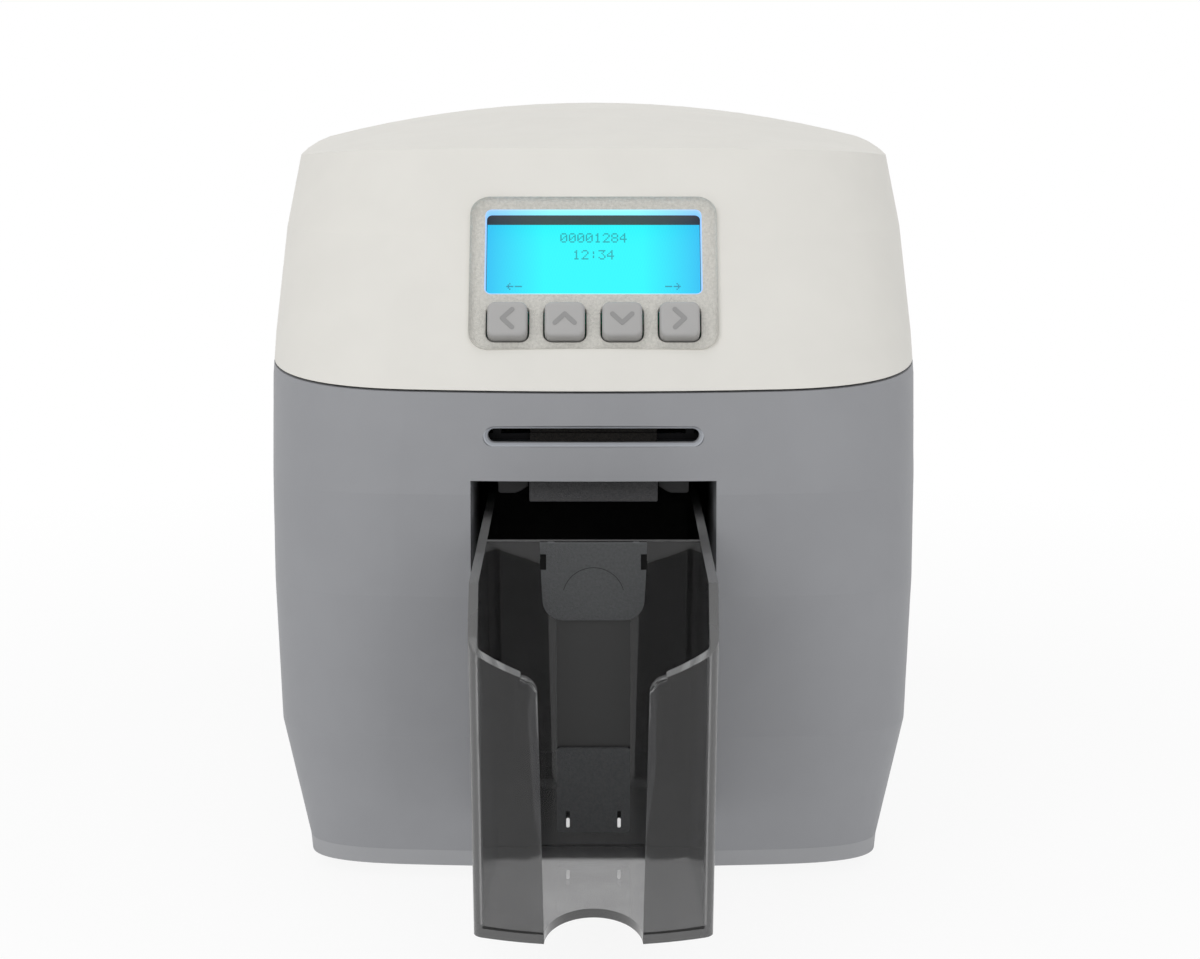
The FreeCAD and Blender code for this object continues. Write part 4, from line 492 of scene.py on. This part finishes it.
def wire_mesh(name, points, radius):
    """Mesh of a round wire through points."""
    curve = bpy.data.curves.new(name, "CURVE")
    curve.dimensions = "3D"
    curve.bevel_depth = radius
    curve.bevel_resolution = 2
    curve.use_fill_caps = True
    return curve_mesh(curve, [points], False)


def plate_mesh(name, outlines, low, high, soft):
    """Mesh of a flat plate with softened edges, from its outline and its holes."""
    curve = bpy.data.curves.new(name, "CURVE")
    curve.dimensions = "2D"
    curve.fill_mode = "BOTH"
    curve.extrude = (high - low) / 2 - soft
    curve.bevel_depth = soft
    curve.bevel_resolution = 2
    curve.offset = -soft
    data = curve_mesh(curve, outlines, True)
    data.transform(Matrix.Translation((0, 0, (low + high) / 2)))
    return data


def standing(depth):
    """Place of an upright plate; its thickness is measured forward from this depth."""
    return Matrix.Translation((0, depth, 0)) @ UPRIGHT


def add_plate(name, outlines, sides, soft, look, body, depth):
    """Adds an upright plate between two sides, its rear and its front, measured from a depth."""
    return finish_piece(name, plate_mesh(name, outlines, *sides, soft), look, body, standing(depth))


def joined(name, parts):
    """One mesh from several."""
    shape = bmesh.new()
    for part in parts:
        shape.from_mesh(part)
    return mesh_of(name, shape)


# Display: bezel, keys with arrows, and plain digits on the screen

PANEL_LEAN = math.radians(31)
PANEL_OUT = Vector((0, -math.cos(PANEL_LEAN), math.sin(PANEL_LEAN)))
BEZEL_THICK = 3.4 * MM
BEZEL_LOW, BEZEL_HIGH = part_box("display_bezel")
PANEL_MIDDLE = (BEZEL_LOW + BEZEL_HIGH) / 2 + PANEL_OUT * BEZEL_THICK / 2
PANEL = Matrix.Translation(PANEL_MIDDLE) @ Matrix.Rotation(math.pi / 2 - PANEL_LEAN, 4, "X")
BEZEL_SIZE = (73.4 * MM, 49.4 * MM)
BEZEL_ROUND = 5.5 * MM
BEZEL_SOFT = 0.35 * MM
RIM_SIZE = (74 * MM, 50 * MM)
RIM_ROUND = 5.8 * MM
RIM_RISE = 2.15 * MM
RIM_REACH = 1.5 * MM
RIM_CLEAR = 0.02 * MM
RIM_SUNK = 0.3 * MM
RIM_STEPS = 6
CORNER_STEPS = 10
WINDOW_SIZE = (64.4 * MM, 27.4 * MM)
WINDOW_UP = 7.7 * MM
WINDOW_ROUND = 1.6 * MM
# How far from the window's edge a face still counts as its wall
WALL_WITHIN = 0.3 * MM
KEY_SIZE = (11.9 * MM, 11.3 * MM)
KEY_GAP = 0.45 * MM
KEY_ROUND = 2.2 * MM
KEY_PITCH = 17 * MM
KEY_BELOW = 15.8 * MM
KEY_PROUD = 3.6 * MM
# How far in and how far out the rings of a key cap lie, from its foot to its face
KEY_PROFILE = in_metres(((0, -3.6), (0, 2.2), (0.05, 2.7), (0.2, 3.1), (0.5, 3.4), (0.9, 3.55), (1.4, 3.6)))
# Each key's place in pitches from the middle, and its arrow's turn in degrees
KEY_TURNS = {"left": (-1.5, 90), "up": (-0.5, 0), "down": (0.5, 180), "right": (1.5, -90)}
ARROW_REACH = 2.9 * MM
ARROW_RISE = 1.45 * MM
ARROW_HALF = 0.72 * MM
ARROW_PROUD = 0.1 * MM
SCREEN_SINK = 9.6 * MM
DOT_PITCH = (0.43 * MM, 0.455 * MM)
DOT_SIDE = 0.42 * MM
DOT_TALL = 0.03 * MM
# Dots from one figure to the next, and the row in a figure's middle
FIGURE_STEP = 6
FIGURE_MIDDLE = 3

# Dot-matrix figures, five dots wide and seven tall
FIGURES = {
    "0": (" ### ", "#   #", "#  ##", "# # #", "##  #", "#   #", " ### "),
    "1": ("  #  ", " ##  ", "  #  ", "  #  ", "  #  ", "  #  ", " ### "),
    "2": (" ### ", "#   #", "    #", "   # ", "  #  ", " #   ", "#####"),
    "3": ("#####", "   # ", "  #  ", "   # ", "    #", "#   #", " ### "),
    "4": ("   # ", "  ## ", " # # ", "#  # ", "#####", "   # ", "   # "),
    "8": (" ### ", "#   #", "#   #", " ### ", "#   #", "#   #", " ### "),
    ":": ("     ", "  #  ", "  #  ", "     ", "  #  ", "  #  ", "     "),
    "<": ("     ", "  #  ", " #   ", "#####", " #   ", "  #  ", "     "),
    ">": ("     ", "  #  ", "   # ", "#####", "   # ", "  #  ", "     "),
    "-": ("     ", "     ", "     ", "#####", "     ", "     ", "     "),
}
# Each line of the screen: its figures, and the place of its middle in millimetres across and up
SCREEN_LINES = (("00001284", 0, 17), ("12:34", 0, 11.3), ("<-", -24, 0.7), ("->", 24, 0.7))


key_hole = rounded_outline(KEY_SIZE[0] + 2 * KEY_GAP, KEY_SIZE[1] + 2 * KEY_GAP, KEY_ROUND + KEY_GAP)
key_holes = [moved(key_hole, share * KEY_PITCH, -KEY_BELOW) for share, turn in KEY_TURNS.values()]
window_hole = moved(rounded_outline(*WINDOW_SIZE, WINDOW_ROUND), 0, WINDOW_UP)
bezel_edge = rounded_outline(*BEZEL_SIZE, BEZEL_ROUND, CORNER_STEPS)
bezel_mesh = plate_mesh("bezel_face", [bezel_edge, window_hole, *key_holes], -BEZEL_THICK, 0, BEZEL_SOFT)
bezel = finish_piece("bezel_face", bezel_mesh, BEZEL, "cover", PANEL)
smooth_sides(bezel)
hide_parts("display_bezel")
# The screen lights the walls of its window
bezel.data.materials.append(LIT_WALL)
into_panel = PANEL.inverted()
window_half = [side / 2 + WALL_WITHIN for side in WINDOW_SIZE]
for face in bezel.data.polygons:
    spot = into_panel @ face.center
    inside = abs(spot.x) < window_half[0] and abs(spot.y - WINDOW_UP) < window_half[1]
    if inside and face.area > 0:
        face.material_index = 1


def recess_rim(shape):
    """Hollow fillet between the cover's opening and the bezel."""
    profile = [(0, -RIM_SUNK)]
    for step in range(RIM_STEPS + 1):
        turn = math.pi / 2 * step / RIM_STEPS
        profile.append((RIM_REACH * (1 - math.cos(turn)), RIM_RISE * (1 - math.sin(turn)) + RIM_CLEAR))
    profile.append((RIM_REACH, -RIM_SUNK))
    profiled(shape, RIM_SIZE, RIM_ROUND, profile, CORNER_STEPS, closed=True)


smooth_sides(add_piece("bezel_rim", recess_rim, BEZEL, "cover", PANEL))


def key_cap(shape):
    """Key with a soft top edge."""
    profiled(shape, KEY_SIZE, KEY_ROUND, KEY_PROFILE, shrink=0.5)


def chevron(shape):
    """Raised arrow head with round ends that points up the panel."""
    left = Vector((-ARROW_REACH, -ARROW_RISE, 0))
    peak = Vector((0, ARROW_RISE, 0))
    right = Vector((ARROW_REACH, -ARROW_RISE, 0))
    slope = math.degrees(math.atan2(2 * ARROW_RISE, ARROW_REACH))
    outline = arc_points(left, ARROW_HALF, slope + 270, slope + 90)
    outline += arc_points(peak, ARROW_HALF, slope + 90, 90 - slope)
    outline += arc_points(right, ARROW_HALF, 90 - slope, -90 - slope)
    outline.append(Vector((0, ARROW_RISE - ARROW_HALF / math.cos(math.radians(slope)), 0)))
    outline.reverse()
    stacked(shape, [moved(outline, 0, 0, out) for out in (-ARROW_PROUD, ARROW_PROUD)])


for name, (share, turn) in KEY_TURNS.items():
    spot = PANEL @ Matrix.Translation((share * KEY_PITCH, -KEY_BELOW, 0))
    cap = add_piece("cap_" + name, key_cap, KEY, name + "_key", spot)
    smooth_sides(cap)
    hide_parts("key_" + name)
    arrow = Matrix.Translation((0, 0, KEY_PROUD)) @ Matrix.Rotation(math.radians(turn), 4, "Z")
    add_piece("arrow_" + name, chevron, MARK, name + "_key", spot @ arrow)


def screen_dots(shape):
    """Raised dots of the figures on the screen."""
    dot = rounded_outline(DOT_SIDE, DOT_SIDE, DOT_SIDE / 8, 1)
    for figures, across, up in SCREEN_LINES:
        start = across * MM - (len(figures) * FIGURE_STEP - 1) / 2 * DOT_PITCH[0]
        for place, figure in enumerate(figures):
            for row, marks in enumerate(FIGURES[figure]):
                for column in [number for number, mark in enumerate(marks) if mark == "#"]:
                    x = start + (place * FIGURE_STEP + column + 0.5) * DOT_PITCH[0]
                    y = up * MM + (FIGURE_MIDDLE - row) * DOT_PITCH[1]
                    stacked(shape, [moved(dot, x, y, out) for out in (0, DOT_TALL)])


add_piece("screen_figures", screen_dots, INK, "cover", PANEL @ Matrix.Translation((0, 0, -SCREEN_SINK)))


# Hopper: the solid's own form with a thin lip over its front wall

HOPPER_LOW, HOPPER_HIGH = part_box("hopper")
HOPPER_HALF = 32.5 * MM
HOPPER_WALL = 2.5 * MM
HOPPER_BOW = 7 * MM
HOPPER_LIP = 98 * MM
SLOT_REACH = 22 * MM
# How much the lip falls for each step forward on the bow, and rises for each step to the rear
LIP_FALL = 1.3
LIP_TILT = 0.3
LIP_STEPS = 16
# Corners of the solid's facets closer together than this are merged
MERGE_WITHIN = 0.001 * MM
# Least share of a face's normal that points up, sideways or lengthwise in a face that is said to, and the
# most of it that points up or down in an upright face
UPWARD = 0.6
SIDEWAYS = 0.7
LENGTHWISE = 0.5
LEVEL = 0.3
# Thicknesses of the wall that the dark front corner covers
CORNER_WALLS = 1.6


def lip_cutter():
    """Closed block over the front wall, whose underside is the lip."""
    corner = HOPPER_LOW.y + HOPPER_BOW
    front = HOPPER_LOW.y - HOPPER_BOW
    rear = corner + HOPPER_WALL
    top = HOPPER_HIGH.z + HOPPER_WALL
    half = HOPPER_HALF - HOPPER_WALL
    rings = []
    for step in range(LIP_STEPS + 1):
        x = half * (2 * step / LIP_STEPS - 1)
        bow = HOPPER_BOW * (1 - (x / HOPPER_HALF) ** 2)
        level = HOPPER_LIP - LIP_FALL * bow
        low_front = level - LIP_TILT * (corner - bow - front)
        low_rear = level + LIP_TILT * (rear - corner + bow)
        rings.append([Vector((x, front, low_front)), Vector((x, front, top)), Vector((x, rear, top)),
                      Vector((x, rear, low_rear))])
    shape = bmesh.new()
    stacked(shape, rings)
    bmesh.ops.recalc_face_normals(shape, faces=shape.faces)
    return bpy.data.objects.new("lip_cutter", mesh_of("lip_cutter", shape))


def with_modifiers(piece):
    """Mesh of a piece with its modifiers applied."""
    bpy.context.view_layer.update()
    return bpy.data.meshes.new_from_object(piece.evaluated_get(bpy.context.evaluated_depsgraph_get()))


def hopper_mesh():
    """The hopper's solid with clean flat faces, a line round its foot, and the lip cut thin."""
    shape = bmesh.new()
    shape.from_mesh(nodes["hopper"].data)
    bmesh.ops.remove_doubles(shape, verts=shape.verts, dist=MERGE_WITHIN)
    bmesh.ops.dissolve_limit(shape, angle_limit=math.radians(0.5), verts=shape.verts, edges=shape.edges)
    bmesh.ops.recalc_face_normals(shape, faces=shape.faces)
    bmesh.ops.bisect_plane(shape, geom=shape.verts[:] + shape.edges[:] + shape.faces[:], dist=MERGE_WITHIN,
                           plane_co=(0, 0, HOPPER_LOW.z + HOPPER_WALL), plane_no=(0, 0, 1))
    draft = bpy.data.objects.new("hopper_draft", mesh_of("hopper_shell", shape))
    cutter = lip_cutter()
    for one in (draft, cutter):
        bpy.context.scene.collection.objects.link(one)
    cut = draft.modifiers.new("lip", "BOOLEAN")
    cut.operation = "DIFFERENCE"
    cut.solver = "EXACT"
    cut.object = cutter
    made = with_modifiers(draft)
    for one in (draft, cutter):
        bpy.data.objects.remove(one)
    return made


def in_front(face):
    return face.center.y < HOPPER_LOW.y + HOPPER_BOW + HOPPER_WALL


def is_edge(face):
    """True for the hopper's tops, lip, front corners and foot, and the sides of its slot and notch."""
    spot, way = face.center, face.normal
    low = spot.z < HOPPER_LOW.z + HOPPER_WALL
    upright = abs(way.z) < LEVEL
    top = way.z > UPWARD and spot.z > HOPPER_LOW.z + 2 * HOPPER_WALL
    slot = in_front(face) and abs(way.x) > SIDEWAYS and abs(spot.x) < SLOT_REACH
    notch = low and upright and abs(spot.x) < SLOT_REACH
    corner = in_front(face) and upright and abs(spot.x) > HOPPER_HALF - CORNER_WALLS * HOPPER_WALL
    foot = in_front(face) and upright and low
    return top or slot or notch or corner or foot


def is_front(face):
    """True for both sides of the hopper's front wall."""
    return in_front(face) and abs(face.normal.y) > LENGTHWISE


def is_rear(face):
    """True for both sides of the hopper's rear wall."""
    return face.center.y > HOPPER_HIGH.y - 2 * HOPPER_WALL and abs(face.normal.y) > LENGTHWISE


hopper_shell = finish_piece("hopper_shell", hopper_mesh(), HOPPER, "hopper_box", Matrix.Identity(4))
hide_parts("hopper")
# The hopper gets copies of one smoked plastic: the lighter edge copy is painted highlight, while the darker
# front copy and the black of its rear wall are painted shade
for look in (HOPPER_EDGE_HIGHLIGHT, HOPPER_FRONT_SHADED, SOCKET_AND_SHADE):
    hopper_shell.data.materials.append(look)
for face in hopper_shell.data.polygons:
    face.material_index = 1 if is_edge(face) else 2 if is_front(face) else 3 if is_rear(face) else 0


# Card gate with clip notches and a thumb line, and the dark strip it slides along

GATE_LOW, GATE_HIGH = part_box("card_gate")
PAD_LOW, PAD_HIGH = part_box("hopper_pad")
GATE_FOOT = 90.2 * MM
GATE_TAPER = 14.4 * MM
GATE_ROUND = 5.8 * MM
GATE_THICK = 0.95 * MM
GATE_SOFT = 0.12 * MM
# How much of the way to its full width the tongue has at its clip notches
TAPER_AT_CLIP = 0.7
CLIP_IN = 13.3 * MM
CLIP_LOW, CLIP_HIGH = 104.7 * MM, 109.2 * MM
RAIL_SIZE = (2.2 * MM, 15 * MM)
RAIL_PLACE = (12 * MM, 105 * MM)
RAIL_ROUND = 0.4 * MM
RAIL_SOFT = 0.05 * MM
SOCKET_DEEP = 0.5 * MM
SOCKET_ROUND = 0.1 * MM
SOCKET_SOFT = 0.03 * MM
THUMB_UP = 96.7 * MM
THUMB_ROUND = 8.7 * MM
THUMB_LINE = 0.07 * MM
THUMB_TURN = (15, 165)
PAD_CLIP = (1.0 * MM, 2.7 * MM)
PAD_CLIP_PLACE = (7.3 * MM, 30.9 * MM)
PAD_CLIP_SIDES = (-1.0 * MM, -0.2 * MM)
PAD_CLIP_ROUND = 0.4 * MM
PAD_CLIP_SOFT = 0.1 * MM
STRIP_LOW = PAD_HIGH.z + 0.02 * MM
STRIP_HIGH = GATE_FOOT + 1 * MM
STRIP_THICK = 0.12 * MM
STRIP_GAP = 0.01 * MM
STRIP_SOFT = 0.03 * MM


def gate_outline():
    """Tapered tongue with round lower corners and a clip notch in each side."""
    half = GATE_HIGH.x
    across = GATE_TAPER - GATE_ROUND
    up = GATE_FOOT + GATE_ROUND
    at_clip = GATE_TAPER + (half - GATE_TAPER) * TAPER_AT_CLIP
    corners = ((at_clip, CLIP_LOW), (CLIP_IN, CLIP_LOW), (CLIP_IN, CLIP_HIGH), (half, CLIP_HIGH),
               (half, GATE_HIGH.z))
    right = arc_points(Vector((across, up, 0)), GATE_ROUND, 270, 360)
    right += [Vector((x, z, 0)) for x, z in corners]
    return right + [Vector((-point.x, point.y, 0)) for point in reversed(right)]


def gate_mesh():
    """The tongue with two rails at its back beside the strip."""
    rails = pair(RAIL_SIZE, RAIL_ROUND, 2, *RAIL_PLACE)
    return joined("gate_tongue", [
        plate_mesh("gate_plate", [gate_outline()], -GATE_THICK, 0, GATE_SOFT),
        plate_mesh("gate_rails", rails, GATE_LOW.y - GATE_HIGH.y, -GATE_THICK, RAIL_SOFT)])


gate_tongue = finish_piece("gate_tongue", gate_mesh(), GATE, "gate", standing(GATE_LOW.y))
smooth_sides(gate_tongue)
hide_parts("card_gate")

# Painted shade: a thin dark arc over the tongue stands in for the shaded upper edge of its thumb recess
thumb = arc_points(Vector((0, THUMB_UP, 0)), THUMB_ROUND, *THUMB_TURN, steps=30)
thumb_mesh = wire_mesh("thumb_arc", thumb, THUMB_LINE)
finish_piece("thumb_arc", thumb_mesh, COATED_AND_SHADE, "gate", standing(GATE_LOW.y))
socket_size = (GATE_HIGH.x - CLIP_IN, CLIP_HIGH - CLIP_LOW)
sockets = pair(socket_size, SOCKET_ROUND, 1, (GATE_HIGH.x + CLIP_IN) / 2, (CLIP_LOW + CLIP_HIGH) / 2)
add_plate("gate_sockets", sockets, (-GATE_THICK, -SOCKET_DEEP), SOCKET_SOFT, SOCKET_AND_SHADE, "gate", GATE_LOW.y)
# White glowing plates in the pad's clip slots: a painted highlight
clip_glints = pair(PAD_CLIP, PAD_CLIP_ROUND, 3, *PAD_CLIP_PLACE)
add_plate("pad_clip_glints", clip_glints, PAD_CLIP_SIDES, PAD_CLIP_SOFT, CLIP_GLINT, "hopper_box", PAD_LOW.y)
strip = span_outline(PAD_HIGH.x, STRIP_LOW, STRIP_HIGH, 2)
add_plate("divider_strip", [strip], (STRIP_GAP, STRIP_GAP + STRIP_THICK), STRIP_SOFT, STRIP, "hopper_box",
          PAD_HIGH.y)


# Cowl over the pick roller, with a hanging flap at each side

COWL_LOW, COWL_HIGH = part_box("roller_cowl")
COWL_HALF = 19 * MM
COWL_FOOT = 116.5 * MM
COWL_SOFT = 0.3 * MM
FLAP_BACK = 4 * MM
FLAP_THICK = 1.2 * MM
FLAP_SOFT = 0.2 * MM
FLAP_OUTLINE = in_metres(((-28.3, 124), (-28.3, 118.9), (-27.6, 118.4), (-23.2, 118.4), (-21.5, 119.1),
                          (-19.4, 120.5), (-19.4, 124)))

cowl_outline = span_outline(COWL_HALF, COWL_FOOT, COWL_HIGH.z, 3)
cowl = add_plate("cowl_block", [cowl_outline], (COWL_LOW.y - COWL_HIGH.y, 0), COWL_SOFT, COWL, "base",
                 COWL_LOW.y)
smooth_sides(cowl)
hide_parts("roller_cowl")

for side, name in ((1, "mouth_flap_left"), (-1, "mouth_flap_right")):
    outline = [Vector((side * x, z, 0)) for x, z in FLAP_OUTLINE]
    if side < 0:
        outline.reverse()
    add_plate(name, [outline], (-FLAP_THICK, 0), FLAP_SOFT, FLAP, "base", COWL_LOW.y + FLAP_BACK)


# Spring behind the release button

SPRING_LOW, SPRING_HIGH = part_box("button_spring")
SPRING_WIRE = 0.25 * MM
SPRING_TURNS = 4.5
SPRING_STEPS = 108


def coil_mesh():
    """Compression spring along the button's way, with its end turns closed up."""
    middle = (SPRING_LOW + SPRING_HIGH) / 2
    radius = (SPRING_HIGH.y - SPRING_LOW.y) / 2 - SPRING_WIRE
    start, end = SPRING_LOW.x + SPRING_WIRE, SPRING_HIGH.x - SPRING_WIRE
    points = []
    for step in range(SPRING_STEPS + 1):
        share = step / SPRING_STEPS
        turn = 2 * math.pi * SPRING_TURNS * share
        run = share * share * (3 - 2 * share)
        points.append((start + (end - start) * run, middle.y + radius * math.cos(turn),
                       middle.z + radius * math.sin(turn)))
    return wire_mesh("spring_coil", points, SPRING_WIRE)


spring_coil = finish_piece("spring_coil", coil_mesh(), SCREW, "base", Matrix.Identity(4))
smooth_sides(spring_coil, 60)
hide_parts("button_spring")
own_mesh(spring_coil)


# Edge of the hand-feed slot

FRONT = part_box("lower_casing")[0].y
SLOT_UP = 137 * MM
SLOT_BACK = 6.96 * MM
SLOT_LEAN = math.radians(13.1)
SLOT_RIM = (64.6 * MM, 6.6 * MM)
SLOT_ROUND = SLOT_RIM[1] / 2 - 0.001 * MM
SLOT_PROFILE = in_metres(((0.0, -0.9), (0.0, 0.05), (0.35, 0.05), (1.15, -0.75), (1.15, -0.9)))
SLOT_TILT = Matrix.Rotation(math.pi / 2 - SLOT_LEAN, 4, "X")
SLOT_PLACE = Matrix.Translation((0, FRONT + SLOT_BACK, SLOT_UP)) @ SLOT_TILT


def slot_edge(shape):
    """Bevelled lip round the slot, set into the casing's chamfer, in a lighter blue-grey than the casing as
    a painted highlight.
    """
    profiled(shape, SLOT_RIM, SLOT_ROUND, SLOT_PROFILE, 8, closed=True)


smooth_sides(add_piece("slot_edge", slot_edge, SLOT_EDGE_HIGHLIGHT, "base", SLOT_PLACE))


# Camera, light and floor

CAMERA_AWAY = 745 * MM
CAMERA_HIGH = 256.5 * MM
CAMERA_PITCH = math.radians(10)
CAMERA_LENS = 78
CAMERA_SENSOR = 36
# Share of the picture's width by which the printer stands off its middle
CAMERA_SHIFT = 6.5 / 1200
# Each lamp's name, its place, what it aims at, its width in metres and its power in watts
LAMPS = (
    ("key_lamp", (-1.05, -1.45, 1.3), (0, 0, 0.12), 1.4, 9),
    ("fill_lamp", (0.9, -1.5, 1.0), (0, 0, 0.12), 1.2, 3.2),
    ("top_lamp", (0, 0.3, 1.9), (0, 0, 0.1), 1.2, 5),
)
# The sky's strength for what it lights; watched directly it is plain white
SKY_LIGHT = 0.55
# The floor's share of plain white at the printer, and where it starts and ends rising to all white
FLOOR_NEAR = 0.9
FLOOR_CLEAR = (0.2, 0.6)
# How far light reaches in under the casing's front, and how soft that edge is
FLOOR_LIT = 25.5 * MM
FLOOR_EDGE = 2 * MM
# The floor's share of its own light for what it lights, against what is watched directly
FLOOR_BOUNCE = 0.6
# Half the floor's width, and how far it lies below the feet
FLOOR_REACH = 6
FLOOR_DROP = 0.2 * MM

camera = bpy.data.objects.new("camera", bpy.data.cameras.new("camera"))
bpy.context.scene.collection.objects.link(camera)
camera.data.lens = CAMERA_LENS
camera.data.sensor_width = CAMERA_SENSOR
camera.data.shift_x = CAMERA_SHIFT
camera.location = (0, FRONT - CAMERA_AWAY, CAMERA_HIGH)
camera.rotation_euler = (math.pi / 2 - CAMERA_PITCH, 0, 0)
bpy.context.scene.camera = camera


def add_lamp(name, place, aim, size, power):
    lamp = bpy.data.objects.new(name, bpy.data.lights.new(name, "AREA"))
    lamp.data.shape = "DISK"
    lamp.data.size = size
    lamp.data.energy = power
    lamp.location = place
    lamp.rotation_mode = "QUATERNION"
    lamp.rotation_quaternion = (Vector(aim) - Vector(place)).to_track_quat("-Z", "Y")
    bpy.context.scene.collection.objects.link(lamp)


def watched(tree):
    """One for camera, glossy and transmission rays, and zero for the rest."""
    rays = tree.nodes.new("ShaderNodeLightPath").outputs
    seen = worked(tree, "MAXIMUM", rays["Is Camera Ray"], rays["Is Glossy Ray"])
    return worked(tree, "MAXIMUM", seen, rays["Is Transmission Ray"])


def outside_casing(tree, place):
    """Zero on the floor in the casing's shade and one outside it."""
    low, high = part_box("lower_casing")
    beyond = []
    for axis, start, end in (("X", low.x, high.x), ("Y", low.y + FLOOR_LIT, high.y)):
        offset = worked(tree, "SUBTRACT", along(tree, place, axis), (start + end) / 2)
        beyond.append(worked(tree, "SUBTRACT", worked(tree, "ABSOLUTE", offset), (end - start) / 2))
    return spread(tree, worked(tree, "MAXIMUM", *beyond), 0, 1, -FLOOR_EDGE, FLOOR_EDGE)


for lamp in LAMPS:
    add_lamp(*lamp)

world = bpy.data.worlds.new("studio")
bpy.context.scene.world = world
world.use_nodes = True
sky = world.node_tree
shade = sky.nodes["Background"]
set_sockets(shade, {"Color": (1, 1, 1, 1)})
sky.links.new(spread(sky, watched(sky), SKY_LIGHT, 1, 0, 1), shade.inputs["Strength"])

plane = bmesh.new()
bmesh.ops.create_grid(plane, x_segments=1, y_segments=1, size=FLOOR_REACH)
floor = bpy.data.objects.new("floor", mesh_of("floor", plane))
floor.location.z = -FLOOR_DROP
bpy.context.scene.collection.objects.link(floor)
paper, tree, shader, place = new_material("floor_paper")
clouded(tree, shader, noise(tree, place, 2 * MM), (0.90, 0.90, 0.90), (0.93, 0.93, 0.93))
set_sockets(shader, {"Roughness": 0.9})
# Seen directly, in gloss or through the smoked plastic, the floor goes to white away from the shadow
away = tree.nodes.new("ShaderNodeVectorMath")
away.operation = "LENGTH"
tree.links.new(place, away.inputs[0])
white = worked(tree, "MULTIPLY", spread(tree, away.outputs["Value"], FLOOR_NEAR, 1, *FLOOR_CLEAR),
               spread(tree, watched(tree), FLOOR_BOUNCE, 1, 0, 1))
# Under the casing the floor stays dark for all but a direct look
looked = tree.nodes.new("ShaderNodeLightPath").outputs["Is Camera Ray"]
white = worked(tree, "MULTIPLY", white, worked(tree, "MAXIMUM", looked, outside_casing(tree, place)))
clear = tree.nodes.new("ShaderNodeEmission")
share = tree.nodes.new("ShaderNodeMixShader")
tree.links.new(white, share.inputs["Fac"])
tree.links.new(shader.outputs["BSDF"], share.inputs[1])
tree.links.new(clear.outputs["Emission"], share.inputs[2])
tree.links.new(share.outputs["Shader"], tree.nodes["Material Output"].inputs["Surface"])
floor.data.materials.append(paper)

bpy.context.scene.view_settings.view_transform = "Standard"
